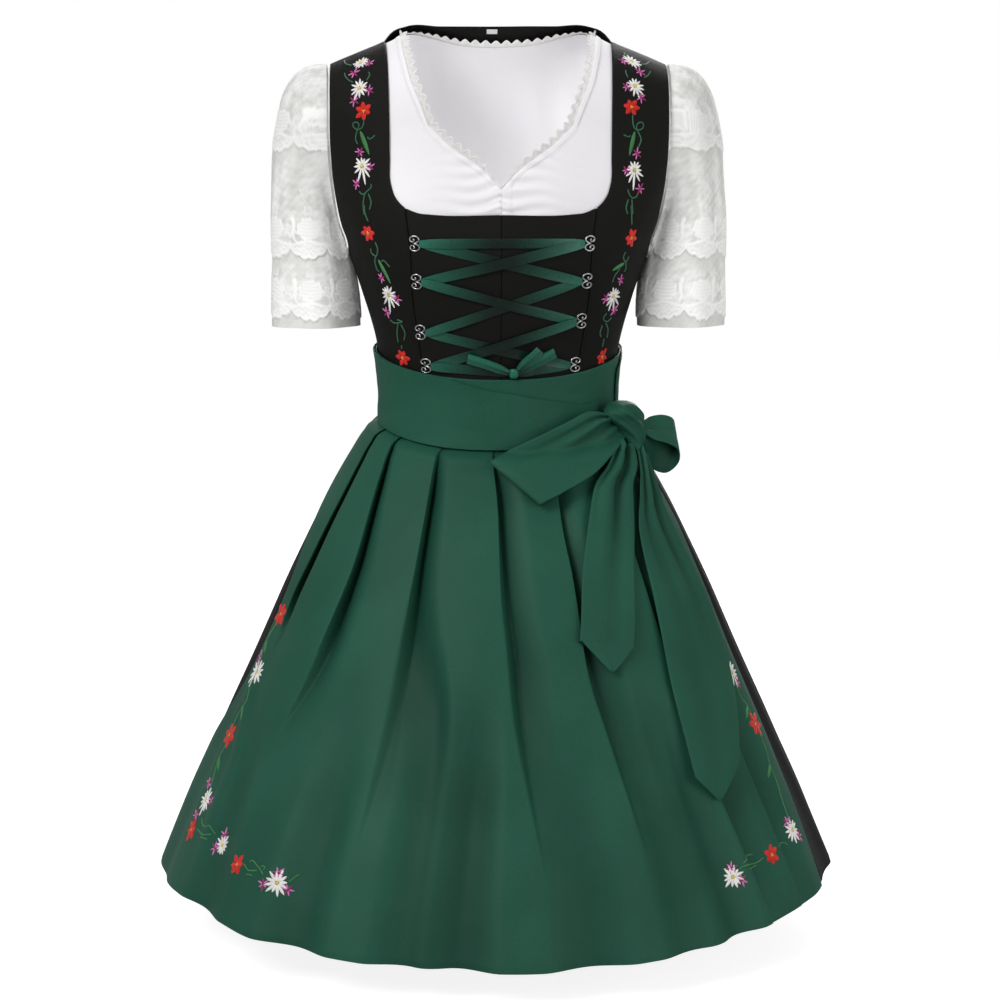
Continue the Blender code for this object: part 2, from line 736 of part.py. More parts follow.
def blouse_inner_edge(level):
    if level < BLOUSE_NECKLINE[0, 0]:
        return SEAM_GAP / 2
    return smooth(BLOUSE_NECKLINE, 1, level)


def back_grid(levels, back_neck, trimmed_edge=None):
    """A back panel's points, from one side to the other."""
    right = torso_grid(levels, lambda level: 0.0, BACK_COLUMNS, BACK, 1, back_neck, trimmed_edge)
    left = right[:, :0:-1] * np.array([-1.0, 1.0, 1.0])
    return np.concatenate([left, right], axis=1)


def armhole_ring(count):
    """Points round the right armhole, from the shoulder over the front to the underarm and up the back."""
    ring = []
    for index in range(count):
        turn = 2 * math.pi * index / count
        level = UNDERARM / 2 * (1 - math.cos(turn))
        side = FRONT if index <= count / 2 else BACK
        ring.append(torso(smooth(ARMHOLE, 1, level), level, side))
    return np.array(ring)


def build_sleeve(name, hand):
    count = SLEEVE_COLUMNS
    turns = np.linspace(0, 2 * math.pi, count, endpoint=False)
    outer = (1 + np.cos(turns)) / 2
    seam = armhole_ring(count)
    seam[:, 0] += SLEEVE_SEAM_STEP + SLEEVE_UNDERARM_STEP * (1 - outer) ** 2
    seam[:, 2] = np.maximum(seam[:, 2], UNDERARM + SLEEVE_UNDERARM_RISE)
    start = seam + np.array([SLEEVE_COLLAR, 0.0, 0.0])
    cuff = np.stack([
        CUFF_CENTRE[0] + CUFF_RADIUS_X * np.cos(turns),
        CUFF_CENTRE[1] - CUFF_RADIUS_Y * np.sin(turns),
        np.full(count, CUFF_CENTRE[2]),
    ], axis=1)
    zero = np.zeros(count)
    reach = SLEEVE_UNDERARM_REACH + SLEEVE_CAP_REACH * outer**1.5
    pull = SLEEVE_INNER_PULL + (SLEEVE_OUTER_PULL - SLEEVE_INNER_PULL) * outer
    after_start = start + np.stack([reach, zero, zero], axis=1)
    before_cuff = cuff + np.stack([zero, zero, pull], axis=1)
    rows = [seam]
    for share in np.linspace(0, 1, SLEEVE_ROWS):
        rest = 1 - share
        row = start * rest**3 + after_start * 3 * share * rest**2
        row = row + before_cuff * 3 * share**2 * rest + cuff * share**3
        rows.append(row)
    grid = np.array(rows) * np.array([hand, 1.0, 1.0])
    axis = (hand * CUFF_CENTRE[0], CUFF_CENTRE[1])
    wall(f"blouse_sleeve_{name}", grid, (-SLEEVE_WALL, 0.0), "white_lace", closed=True, axis=axis)


def neck_lace_side():
    """The lace's base and the direction it stands in, from the right front up to the shoulder."""
    stations = []
    for level in NECK_LACE_LEVELS:
        distance = smooth(BLOUSE_NECKLINE, 1, level)
        base = torso(distance, level, FRONT)
        stations.append((base, torso(distance - NECK_LACE_WIDTH, level, FRONT) - base))
    return stations


def build_neck_lace():
    """A scalloped edging that stands in from the blouse's neckline, from one front round the back to the other."""
    right = neck_lace_side()
    lower, upper = back_grid([-NECK_LACE_RISE_STEP, 0.0], BLOUSE_BACK_NECK)
    inside = np.abs(upper[:, 0]) < BLOUSE_BACK_NECK[-1, 0]
    back = list(zip(upper[inside][::-1], (upper - lower)[inside][::-1]))
    mirror = np.array([-1.0, 1.0, 1.0])
    left = [(base * mirror, way * mirror) for base, way in reversed(right)]
    stations = right + back + left
    base = np.array([station[0] for station in stations])
    ways = np.array([station[1] for station in stations])
    ways /= np.linalg.norm(ways, axis=1, keepdims=True)
    grid = np.array([base + ways * NECK_LACE_GAP, base + ways * NECK_LACE_WIDTH])
    wall("blouse_neck_lace", grid, NECK_LACE_LAYER, "white_lace")


# ---------------------------------------------------------------- bodice


def build_bodice():
    for name, hand in SIDES.items():
        wall(f"bodice_centre_front_{name}", centre_front_grid(hand), BODICE_LAYER, "black_twill")
        levels = [*SEAM_LEVELS, -0.128, -0.110, -0.085, CHEST_LINE, -0.046, -0.030, -0.012, 0.0]
        grid = torso_grid(levels, side_front_inner_edge, 5, FRONT, hand, None, bodice_side_edge)
        wall(f"bodice_side_front_{name}", grid, BODICE_LAYER, "black_twill")
    levels = [None, -0.300, -0.250, -0.220, UNDERARM, -0.150, -0.105, CHEST_LINE, -0.038, -0.018, 0.0]
    grid = back_grid(levels, BODICE_BACK_NECK, bodice_side_edge)
    wall("bodice_back", grid, BODICE_LAYER, "black_twill")
    rows = [torso(np.array(LABEL_SPAN), level, BACK, BODICE_BACK_NECK) for level in LABEL_LEVELS]
    wall("neck_label", np.array(rows), LABEL_LAYER, "white_label")


def side_front_inner_edge(level):
    if level <= PRINCESS_SEAM[-1, 0]:
        return smooth(PRINCESS_SEAM, 1, level) + SEAM_GAP / 2
    return smooth(BODICE_NECKLINE, 1, level)


def centre_front_grid(hand):
    """Columns run from the front closure to the princess seam, rows from the waist seam to the neckline."""
    columns = []
    for share in np.linspace(0, 1, CENTRE_FRONT_COLUMNS):
        top = smooth(BODICE_TOP, 1, share * BODICE_TOP[-1, 0])
        turn = np.degrees(edge_angle(share * smooth(PRINCESS_SEAM, 1, SEAM_LEVEL), figure_half_width(SEAM_LEVEL)))
        bottom = band_bottom(turn) + WAIST_SEAM_ABOVE_BAND_BOTTOM + WAIST_SEAM_GAP
        column = []
        for level in SEAM_LEVELS:
            way = 0.0 if level is None else (level - SEAM_LEVEL) / (SEAM_LEVELS[-1] - SEAM_LEVEL)
            height = bottom + way * (top - bottom)
            reach = smooth(PRINCESS_SEAM, 1, SEAM_LEVEL if level is None else level)
            x = SEAM_GAP / 2 + share * (reach - SEAM_GAP)
            column.append(torso(hand * x, height, FRONT))
        columns.append(column)
    return np.array(columns).transpose(1, 0, 2)


def over_bodice(x, height, lift):
    """Points at a lift over the front of the figure, along its normal."""
    x = np.asarray(x, float)
    height = np.asarray(height, float)
    step = 0.001
    point = torso(x, height, FRONT)
    normal = np.cross(torso(x + step, height, FRONT) - point, torso(x, height + step, FRONT) - point)
    normal /= np.linalg.norm(normal, axis=-1, keepdims=True)
    return point + normal * np.asarray(lift)[..., None]


def build_hooks():
    """Each hook is a wire bent to a figure of eight, sewn flat beside its princess seam."""
    turns = np.linspace(0, 2 * math.pi, HOOK_STATIONS, endpoint=False)
    middle = BODICE_LAYER[1] + SEAM_GAP + HOOK_WIRE_RADIUS + HOOK_CROSSING_LIFT
    for name, (x, height) in HOOKS.items():
        across = x + HOOK_HALF_WIDTH * np.sin(2 * turns)
        up = height + HOOK_HALF_HEIGHT * np.cos(turns)
        path = over_bodice(across, up, middle + HOOK_CROSSING_LIFT * np.sin(turns))
        tube(f"lace_hook_{name}", path, HOOK_WIRE_RADIUS, HOOK_SIDES, "silver")


def tube(name, path, radius, sides, material):
    """A closed wire ring along a path."""
    ahead = np.roll(path, -1, axis=0) - np.roll(path, 1, axis=0)
    ahead /= np.linalg.norm(ahead, axis=1, keepdims=True)
    side = np.cross(ahead, (0.0, -1.0, 0.0))
    side /= np.linalg.norm(side, axis=1, keepdims=True)
    face = np.cross(side, ahead)
    turns = np.linspace(0, 2 * math.pi, sides, endpoint=False)
    rings = [path + radius * (math.cos(turn) * side + math.sin(turn) * face) for turn in turns]
    mesh = bmesh.new()
    verts = [[mesh.verts.new(point) for point in ring] for ring in rings]
    count = len(path)
    for index in range(sides):
        ring, after = verts[index], verts[(index + 1) % sides]
        for place in range(count):
            beyond = (place + 1) % count
            mesh.faces.new((ring[place], ring[beyond], after[beyond], after[place]))
    return finish(name, mesh, material)


def strip(name, centre, width_ways, surface, columns, thickness, material):
    """A ribbon over a surface. The centre's columns are x, height and lift, and each width way is in x and height."""
    rows = []
    for share in np.linspace(-0.5, 0.5, columns):
        edge = centre[:, :2] + width_ways * share
        rows.append(surface(edge[:, 0], edge[:, 1], centre[:, 2]))
    grid = np.array(rows).transpose(1, 0, 2)
    wall(name, grid, (-thickness / 2, thickness / 2), material)


def width_way(ahead, width):
    """The ribbon's width, square to its run and pointing up."""
    square = np.stack([-ahead[:, 1], ahead[:, 0]], axis=1)
    square *= np.sign(square[:, 1:] + 1e-9)
    return square / np.linalg.norm(square, axis=1, keepdims=True) * width


def build_lacing():
    """One ribbon runs from the bow through all eight hooks and back to the bow."""
    bow_left = (LACING_BOW[0] - LACING_BOW_HALF, LACING_BOW[1])
    bow_right = (LACING_BOW[0] + LACING_BOW_HALF, LACING_BOW[1])
    stops = [bow_left] + [lacing_turn(name) for name in LACING_ORDER] + [bow_right]
    centre, ways = [], []
    for index, (start, end) in enumerate(zip(stops, stops[1:])):
        ahead = np.array(end) - np.array(start)
        on_top = 0 < index < LACING_STRANDS_ON_TOP
        for share in LACING_SHARES:
            x, height = np.array(start) + ahead * share
            rise_at = LACING_TOP_RISE if on_top else LACING_UNDER_RISE
            rise = np.clip((share - rise_at[0]) / (rise_at[1] - rise_at[0]), 0, 1)
            lift = LACING_LIFTS[0] + (LACING_LIFTS[1] - LACING_LIFTS[0]) * rise
            centre.append((x, height, lift))
            ways.append(width_way(ahead[None], RIBBON_WIDTH)[0])
        if index < len(stops) - 2:
            x = end[0] + math.copysign(LACING_TURN_RADIUS, end[0])
            centre.append((x, end[1], sum(LACING_LIFTS) / 2))
            ways.append(np.array([0.0, RIBBON_WIDTH]))
    strip("lacing_ribbon", np.array(centre), np.array(ways), over_bodice, 2, RIBBON_THICKNESS, "green_ribbon")


def lacing_turn(name):
    x, height = HOOKS[name]
    return (x - math.copysign(LACING_HOOK_CLEARANCE, x), height)


def build_lacing_bow():
    for name, points in LACING_BOW_PIECES.items():
        centre = through(points, 9)
        ahead = np.gradient(centre[:, :2], axis=0)
        if "loop" in name:
            ahead[:] = centre[4, :2] - centre[0, :2]
        ways = width_way(ahead, RIBBON_WIDTH * 0.9)
        strip(name, centre, ways, over_bodice, 2, RIBBON_THICKNESS, "green_ribbon")
    rings = []
    for height, half_width, half_depth in LACING_KNOT:
        turns = np.linspace(0, 2 * math.pi, 8, endpoint=False)
        middle = over_bodice(LACING_BOW[0], LACING_BOW[1] + height, LACING_KNOT_LIFT)
        ring = [middle + np.array([half_width * math.cos(turn), half_depth * math.sin(turn), 0.0]) for turn in turns]
        rings.append(ring)
    barrel("lacing_knot", rings, "green_ribbon")


# ---------------------------------------------------------------- skirt and apron


def build_skirt_and_apron():
    """The apron keeps to the skirt front's columns and rows, so that it lies on it everywhere."""
    ways = np.array([0.0, 0.0, 0.0, *SKIRT_ROWS, 1.0])
    front, (left, right) = skirt_columns(-90.0, 90.0, ways, ("left", "right"))
    back, _ = skirt_columns(90.0, 270.0, ways)
    for name, angles, side in (("front", front, FRONT), ("back", back, BACK)):
        drops = skirt_drops(angles, ways)
        inner, outer = (skirt(angles, drops, lift) for lift in (0.0, SKIRT_WALL))
        for grid in (inner, outer):
            grid[:, [0, -1], 1] = side * SEAM_GAP / 2
        shell(f"skirt_{name}", inner, outer, "black_twill")
    angles = front[1:, left : right + 1]
    drops = skirt_drops(front, ways)[1:, left : right + 1]
    drops[-1] = hem_drop(angles[-1], APRON_HEM, APRON_HEM_FRONT_DROP)
    lift = SKIRT_WALL + APRON_LIFT
    inner, outer = (skirt(angles, drops, out) for out in (lift, lift + APRON_WALL))
    shell("apron_skirt", inner, outer, "green_satin")


def skirt_drops(angles, ways):
    """Drops below the waistband: the waist seam, the height of the apron's tucked edge, and the rows to the hem."""
    drops = hem_drop(angles) * ways[:, None]
    drops[0] = -WAIST_SEAM_ABOVE_BAND_BOTTOM
    drops[1] = -APRON_TUCK
    return drops


def belt_strip(name, stations, material):
    """A band or tie round the waist through stations of angle, lower and upper share of the height, and lifts.

    The columns of all of them lie at the same steps of angle, so that they lie flat on each other.
    """
    table = np.array(sorted(stations))
    start, end = table[0, 0], table[-1, 0]
    first, last = math.ceil(start / BAND_COLUMN_STEP + 0.1), math.floor(end / BAND_COLUMN_STEP - 0.1)
    angles = np.array([start, *(BAND_COLUMN_STEP * step for step in range(first, last + 1)), end])
    low, high, near, far = (np.interp(angles, table[:, 0], table[:, column]) for column in range(1, 5))
    grids = []
    for lift in (near, far):
        rows = []
        for share in (0.0, 0.5, 1.0):
            height = band_bottom(angles) + BAND_HEIGHT * (low + (high - low) * share)
            rows.append(belt(angles, height, lift))
        grids.append(np.array(rows))
    return shell(name, grids[0], grids[1], material)


def build_waist():
    half = BAND_HALF_ANGLE
    band = [(-half, 0.0, 1.0, *WAISTBAND_LAYER), (half, 0.0, 1.0, *WAISTBAND_LAYER)]
    belt_strip("apron_waistband", band, "green_satin")
    for name, stations in TIES.items():
        belt_strip(name, stations, "green_satin")


def build_bow():
    rings = []
    for height, lift, half_along, half_out in KNOT:
        turns = np.linspace(0, 2 * math.pi, 10, endpoint=False)
        middle = belt(np.array([KNOT_ANGLE]), height, lift)[0]
        out = np.array([math.sin(math.radians(KNOT_FACING)), -math.cos(math.radians(KNOT_FACING)), 0.0])
        along = np.array([-out[1], out[0], 0.0])
        ring = [middle + along * half_along * math.cos(turn) + out * half_out * math.sin(turn) for turn in turns]
        rings.append(ring)
    barrel("apron_bow_knot", rings, "green_satin")
    build_left_loop()
    build_right_loop()
    for name, stations in TAILS.items():
        build_tail(name, stations)


def build_left_loop():
    stations = through(LEFT_LOOP, LOOP_ROWS)
    ways = np.array(LEFT_LOOP_WIDTH_WAY) * stations[:, 3:4]
    strip("apron_bow_loop_left", stations[:, :3], ways, over_skirt, 3, RIBBON_WALL, "green_satin")


def build_right_loop():
    stations = through(RIGHT_LOOP, LOOP_ROWS)
    way = np.array(RIGHT_LOOP_DEPTH_WAY)
    grid = np.array([stations[:, :3] + way * stations[:, 3:4] * share for share in (0.0, 0.5, 1.0)])
    wall("apron_bow_loop_right", grid.transpose(1, 0, 2), (-RIBBON_WALL / 2, RIBBON_WALL / 2), "green_satin")


def build_tail(name, stations):
    table = through(stations, TAIL_ROWS)
    rows = []
    for share in np.linspace(0, 1, TAIL_COLUMNS):
        angle = table[:, 0] + (table[:, 2] - table[:, 0]) * share
        height = table[:, 1] + (table[:, 3] - table[:, 1]) * share
        rows.append(skirt(angle, band_bottom(angle) - height, table[:, 4], folded=False))
    grid = np.array(rows).transpose(1, 0, 2)
    wall(name, grid, (-RIBBON_WALL / 2, RIBBON_WALL / 2), "green_satin")


build_blouse()
build_bodice()
build_hooks()
build_lacing()
build_lacing_bow()
build_skirt_and_apron()
build_waist()
build_bow()
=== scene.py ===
"""The looks of a dirndl set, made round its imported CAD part.

The set is a blouse, a laced bodice with its skirt, and an apron tied in a bow. Metres, +Z up; it faces -Y.
Names say left for -X and right for +X, as they are seen from the front.
"""

import math

import bpy
import numpy as np
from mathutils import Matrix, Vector
from mathutils.bvhtree import BVHTree


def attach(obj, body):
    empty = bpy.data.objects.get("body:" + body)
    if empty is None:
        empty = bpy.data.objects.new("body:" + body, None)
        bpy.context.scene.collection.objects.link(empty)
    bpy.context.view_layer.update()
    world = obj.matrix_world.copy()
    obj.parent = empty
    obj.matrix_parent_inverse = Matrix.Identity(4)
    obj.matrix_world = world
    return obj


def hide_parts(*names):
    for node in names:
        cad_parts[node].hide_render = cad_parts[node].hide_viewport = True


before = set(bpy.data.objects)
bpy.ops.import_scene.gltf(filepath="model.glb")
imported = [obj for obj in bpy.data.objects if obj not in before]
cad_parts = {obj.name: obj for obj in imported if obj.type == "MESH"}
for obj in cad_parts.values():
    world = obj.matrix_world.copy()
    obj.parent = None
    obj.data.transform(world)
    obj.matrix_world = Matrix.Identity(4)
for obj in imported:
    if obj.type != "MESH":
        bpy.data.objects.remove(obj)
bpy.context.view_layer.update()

# ---------------------------------------------------------------- camera: azimuth and elevation in degrees

CAMERA_AZIMUTH = -1.7
CAMERA_ELEVATION = 8.0
CAMERA_DISTANCE = 3.0
CAMERA_TARGET = (0.0, 0.0, -0.45)
IMAGE_SIZE = 1000
FOCAL_PIXELS = 2857.0
CENTRE_X = 498.0
SENSOR_WIDTH = 36.0


def camera_axes():
    """The camera's place, and its forward, right and up directions."""
    azimuth, elevation = math.radians(CAMERA_AZIMUTH), math.radians(CAMERA_ELEVATION)
    back = Vector((
        math.sin(azimuth) * math.cos(elevation),
        -math.cos(azimuth) * math.cos(elevation),
        math.sin(elevation),
    ))
    right = Vector((math.cos(azimuth), math.sin(azimuth), 0.0))
    place = Vector(CAMERA_TARGET) + back * CAMERA_DISTANCE
    return place, -back, right, right.cross(-back)


def place_towards(obj, place, way):
    """Puts a camera or a light at a place, facing a way, and links it to the scene."""
    obj.location = place
    obj.rotation_mode = "QUATERNION"
    obj.rotation_quaternion = Vector(way).to_track_quat("-Z", "Y")
    bpy.context.scene.collection.objects.link(obj)


def make_camera():
    place, ahead, _, _ = camera_axes()
    data = bpy.data.cameras.new("camera")
    data.sensor_width = SENSOR_WIDTH
    data.lens = SENSOR_WIDTH * FOCAL_PIXELS / IMAGE_SIZE
    data.shift_x = (IMAGE_SIZE / 2 - CENTRE_X) / IMAGE_SIZE
    camera = bpy.data.objects.new("camera", data)
    place_towards(camera, place, ahead)
    bpy.context.scene.camera = camera


def photo_ray(photo_x, photo_y):
    """The camera's place, and the direction in which it sees a place in the photograph."""
    place, ahead, right, up = camera_axes()
    across = (photo_x - CENTRE_X) / FOCAL_PIXELS
    above = (IMAGE_SIZE / 2 - photo_y) / FOCAL_PIXELS
    return place, (ahead + right * across + up * above).normalized()


make_camera()

# ---------------------------------------------------------------- dimensions, as the CAD part has them

# Points this close to the side seams' plane are set on it.
SEAM_REACH = 0.0003
SIDES = {"left": -1, "right": 1}
FRONT = -1
BACK = 1

# The general figure inside the cloth. Each row is a level section, from the hips up to the chest line.
FIGURE = np.array([
    # height, half_width, front_depth, back_depth
    (-0.400, 0.1180, 0.0930, 0.0870),
    (-0.370, 0.1165, 0.0895, 0.0845),
    (-0.335, 0.1160, 0.0880, 0.0835),
    (-0.300, 0.1190, 0.0920, 0.0855),
    (-0.280, 0.1225, 0.0965, 0.0870),
    (-0.240, 0.1335, 0.1070, 0.0930),
    (-0.188, 0.1515, 0.1185, 0.1010),
    (-0.140, 0.1700, 0.1180, 0.1050),
    (-0.090, 0.1860, 0.1090, 0.1040),
    (-0.060, 0.1930, 0.1030, 0.1010),
])
FIGURE_SQUARENESS = 2.3
CHEST_LINE = -0.060

# Height of the shoulder ridge at each distance from the middle, and the ridge's place behind the origin.
RIDGE = np.array([
    # distance, height
    (0.000, 0.0850),
    (0.060, 0.0600),
    (0.090, 0.0370),
    (0.100, 0.0300),
    (0.115, 0.0223),
    (0.145, 0.0100),
    (0.174, -0.0025),
    (0.190, -0.0100),
])
RIDGE_Y = 0.012
# How square the cloth turns over the shoulder, in front and behind.
FRONT_SHOULDER_ROUNDING = 0.93
BACK_SHOULDER_ROUNDING = 0.98

# Where the back of each garment's neck edge lies; outside the last row the back ends at the shoulder seam.
BODICE_BACK_NECK = np.array([
    # distance, y, height
    (0.0000, 0.0580, 0.0400),
    (0.0600, 0.0480, 0.0395),
    (0.0940, 0.0300, 0.0385),
    (0.1075, 0.0190, 0.0320),
    (0.1150, 0.0120, 0.0223),
])
BLOUSE_BACK_NECK = np.array([
    # distance, y, height
    (0.0000, 0.0725, 0.0200),
    (0.0400, 0.0675, 0.0230),
    (0.0725, 0.0510, 0.0310),
    (0.0900, 0.0310, 0.0335),
    (0.1000, 0.0120, 0.0300),
])
BACK_NECK_SLOPE_DIP = 0.040

# Edges as distance from the middle at each level. Above the chest line a level of 0 is the shoulder seam.
ARMHOLE = np.array([
    # level, distance
    (-0.190, 0.1508),
    (-0.180, 0.1525),
    (-0.160, 0.1600),
    (-0.132, 0.1660),
    (-0.080, 0.1715),
    (-0.040, 0.1725),
    (0.000, 0.1740),
])
PRINCESS_SEAM = np.array([
    # level, distance
    (-0.360, 0.0705),
    (-0.309, 0.0760),
    (-0.277, 0.0800),
    (-0.235, 0.0860),
    (-0.182, 0.0890),
    (-0.141, 0.0940),
])
BODICE_NECKLINE = np.array([
    # level, distance
    (-0.1410, 0.0940),
    (-0.1370, 0.0990),
    (-0.1300, 0.1045),
    (-0.1180, 0.1087),
    (-0.0900, 0.1100),
    (-0.0600, 0.1105),
    (-0.0300, 0.1120),
    (0.0000, 0.1150),
])
BODICE_TOP = np.array([
    # distance, level
    (0.000, -0.1475),
    (0.070, -0.1470),
    (0.083, -0.1455),
    (0.094, -0.1410),
])
BLOUSE_NECKLINE = np.array([
    # level, distance
    (-0.1220, 0.0005),
    (-0.1120, 0.0098),
    (-0.1025, 0.0188),
    (-0.0900, 0.0365),
    (-0.0780, 0.0530),
    (-0.0700, 0.0612),
    (-0.0620, 0.0695),
    (-0.0540, 0.0790),
    (-0.0460, 0.0876),
    (-0.0325, 0.0945),
    (0.0000, 0.1000),
])
BLOUSE_HEM = -0.250
UNDERARM = -0.190
BODICE_ARMHOLE_INSET = 0.0028
BODICE_ARMHOLE_RUN = 0.02

# Layers, as distances out from the figure.
BLOUSE_LAYER = (0.0000, 0.0010)
BODICE_LAYER = (0.0026, 0.0041)
LABEL_LAYER = (0.0009, 0.0015)
WAISTBAND_LAYER = (0.0061, 0.0073)
TIE_LAYER = (0.0085, 0.0099)

# The waistband's lower edge and the hem are lower in front than at the sides, and a little higher behind.
BAND_HEIGHT = 0.072
BAND_SIDE_BOTTOM = -0.362
BAND_FRONT_DROP = 0.024
BACK_RISE_SHARE = 0.4
WAIST_SEAM_ABOVE_BAND_BOTTOM = 0.030
WAIST_SEAM_GAP = 0.0009
BAND_HALF_ANGLE = 96.0
# The waist seam as a level, and the level below which a panel's rows bend towards it.
SEAM_LEVEL = -0.345
LOWEST_STRAIGHT_LEVEL = -0.300

# How far the skirt stands out from the figure at each drop below the waistband.
FLARE = np.array([
    # drop, flare
    (0.000, 0.0012),
    (0.005, 0.0120),
    (0.014, 0.0200),
    (0.035, 0.0335),
    (0.056, 0.0460),
    (0.088, 0.0640),
    (0.130, 0.0850),
    (0.173, 0.1055),
    (0.216, 0.1245),
    (0.259, 0.1435),
    (0.302, 0.1630),
    (0.346, 0.1825),
    (0.389, 0.2020),
    (0.433, 0.2205),
    (0.500, 0.2480),
])
FRONT_FLARE_SHARE = 0.95
BACK_FLARE_SHARE = 0.985
HEM_SQUARENESS = 2.0
SKIRT_HEM = -0.836
SKIRT_HEM_FRONT_DROP = 0.016
APRON_HEM = -0.829
APRON_HEM_FRONT_DROP = 0.036
SKIRT_WALL = 0.0012
# The part of the skirt that the apron hides: where it starts and ends, and over how many degrees. The cloth
# is set back there, from a share of the way down and over another.
HIDDEN_ANGLES = (-84.0, 74.0)
HIDDEN_RUNS = (7, 8)
SET_BACK = 0.020
SET_BACK_START = -0.06
SET_BACK_RUN = 0.16
APRON_LIFT = 0.0016
APRON_WALL = 0.0012
APRON_TUCK = 0.010
# Angles of the apron's two edges at shares of the way down.
APRON_EDGES = {
    "left": (
        (0.0, -92.0), (0.15, -91.0), (0.24, -84.5), (0.32, -80.0),
        (0.5, -81.0), (0.62, -86.5), (0.72, -92.0), (1.0, -97.0)),
    "right": ((0.0, 73.0), (0.3, 76.5), (0.6, 76.0), (0.8, 72.5), (1.0, 70.0)),
}

# Sleeve: from the armhole over a rounded cap to a level, slightly flattened cuff.
CUFF_CENTRE = (0.1895, 0.008, -0.266)
CUFF_RADIUS_X = 0.0480
CUFF_RADIUS_Y = 0.0540
SLEEVE_SEAM_STEP = 0.0022
SLEEVE_UNDERARM_STEP = 0.0035
SLEEVE_UNDERARM_RISE = 0.0070
SLEEVE_COLLAR = 0.0060
SLEEVE_CAP_RISE = 0.0050
SLEEVE_UNDERARM_REACH = 0.004
SLEEVE_CAP_REACH = 0.050
SLEEVE_OUTER_PULL = 0.185
SLEEVE_INNER_PULL = 0.080

# Lace edging round the blouse's neck.
NECK_LACE_WIDTH = 0.0085
NECK_LACE_GAP = -0.0020
NECK_LACE_RISE_STEP = 0.003

LABEL_SPAN = (-0.0100, 0.0010)
LABEL_LEVELS = (-0.0045, -0.0012)

# Lacing: wire hooks beside the princess seams, and one satin ribbon between them that ends in a small bow.
HOOKS = {
    # name: (x, height)
    "left_1": (-0.0845, -0.1753),
    "left_2": (-0.0825, -0.2130),
    "left_3": (-0.0785, -0.2650),
    "left_4": (-0.0730, -0.3000),
    "right_1": (0.0865, -0.1753),
    "right_2": (0.0840, -0.2125),
    "right_3": (0.0790, -0.2535),
    "right_4": (0.0735, -0.2990),
}
LACING_ORDER = ("left_4", "right_3", "left_2", "right_1", "left_1", "right_2", "left_3", "right_4")
LACING_STRANDS_ON_TOP = 4
LACING_TOP_RISE = (0.20, 0.42)
LACING_UNDER_RISE = (0.60, 0.95)
LACING_LIFTS = (0.0054, 0.0072)
LACING_HOOK_CLEARANCE = 0.0060
LACING_TURN_RADIUS = 0.0010
RIBBON_WIDTH = 0.010
RIBBON_THICKNESS = 0.0006
LACING_BOW = (0.0125, -0.3060)
LACING_BOW_HALF = 0.0040
LACING_KNOT_LIFT = 0.0092
LACING_KNOT = [
    # height, half_width, half_depth
    (-0.0050, 0.0030, 0.0020),
    (-0.0025, 0.0045, 0.0034),
    (0.0025, 0.0045, 0.0034),
    (0.0050, 0.0030, 0.0020),
]
LACING_BOW_PIECES = {
    "lacing_bow_loop_left": [
        # x, height, lift
        (0.0077, -0.3050, 0.0084),
        (-0.0150, -0.2960, 0.0084),
        (-0.0320, -0.2900, 0.0096),
        (-0.0150, -0.2955, 0.0110),
        (0.0077, -0.3045, 0.0100),
    ],
    "lacing_bow_loop_right": [
        # x, height, lift
        (0.0173, -0.3045, 0.0084),
        (0.0370, -0.2930, 0.0084),
        (0.0520, -0.2845, 0.0096),
        (0.0370, -0.2925, 0.0110),
        (0.0173, -0.3040, 0.0100),
    ],
    "lacing_end": [
        # x, height, lift
        (0.0166, -0.3020, 0.0120),
        (0.0240, -0.2925, 0.0140),
        (0.0310, -0.2860, 0.0145),
        (0.0370, -0.2800, 0.0135),
    ],
}

# The apron's ties start at the ends of the waistband, cross at the middle of the back and come round to the
# knot, one over the front of the band. Shares are of the band's height, from its lower edge.
TIES = {
    "apron_tie_left": [
        # angle, low_share, high_share, near, far
        (-96.2, 0.00, 1.00, *WAISTBAND_LAYER),
        (-140.0, 0.25, 1.00, *WAISTBAND_LAYER),
        (-168.0, 0.64, 1.00, *WAISTBAND_LAYER),
        (-192.0, 0.36, 1.00, *TIE_LAYER),
        (-221.0, 0.00, 1.00, *TIE_LAYER),
        (-264.0, 0.00, 1.00, *TIE_LAYER),
        (-286.0, 0.15, 0.80, *TIE_LAYER),
    ],
    "apron_tie_right": [
        # angle, low_share, high_share, near, far
        (96.2, 0.00, 1.00, *WAISTBAND_LAYER),
        (140.0, 0.00, 0.75, *WAISTBAND_LAYER),
        (168.0, 0.00, 0.355, *WAISTBAND_LAYER),
        (192.0, 0.00, 0.635, *TIE_LAYER),
        (221.0, 0.00, 1.00, *TIE_LAYER),
        (264.0, 0.00, 1.00, *TIE_LAYER),
        (336.0, 0.00, 1.00, *TIE_LAYER),
        (400.0, 0.02, 0.53, *TIE_LAYER),
        (411.0, 0.10, 0.50, *TIE_LAYER),
    ],
}

# Folds of the left loop, from the knot toward its end. Places are shares of the width from its middle.
LEFT_LOOP_FOLDS = [
    # at_knot, at_end, depth, width, fade_length
    (0.24, 0.44, 0.0036, 0.060, 0.060),
    (-0.02, 0.00, 0.0066, 0.110, 0.034),
    (-0.30, -0.24, 0.0040, 0.070, 0.022),
    (0.12, 0.24, -0.0022, 0.080, 0.050),
]
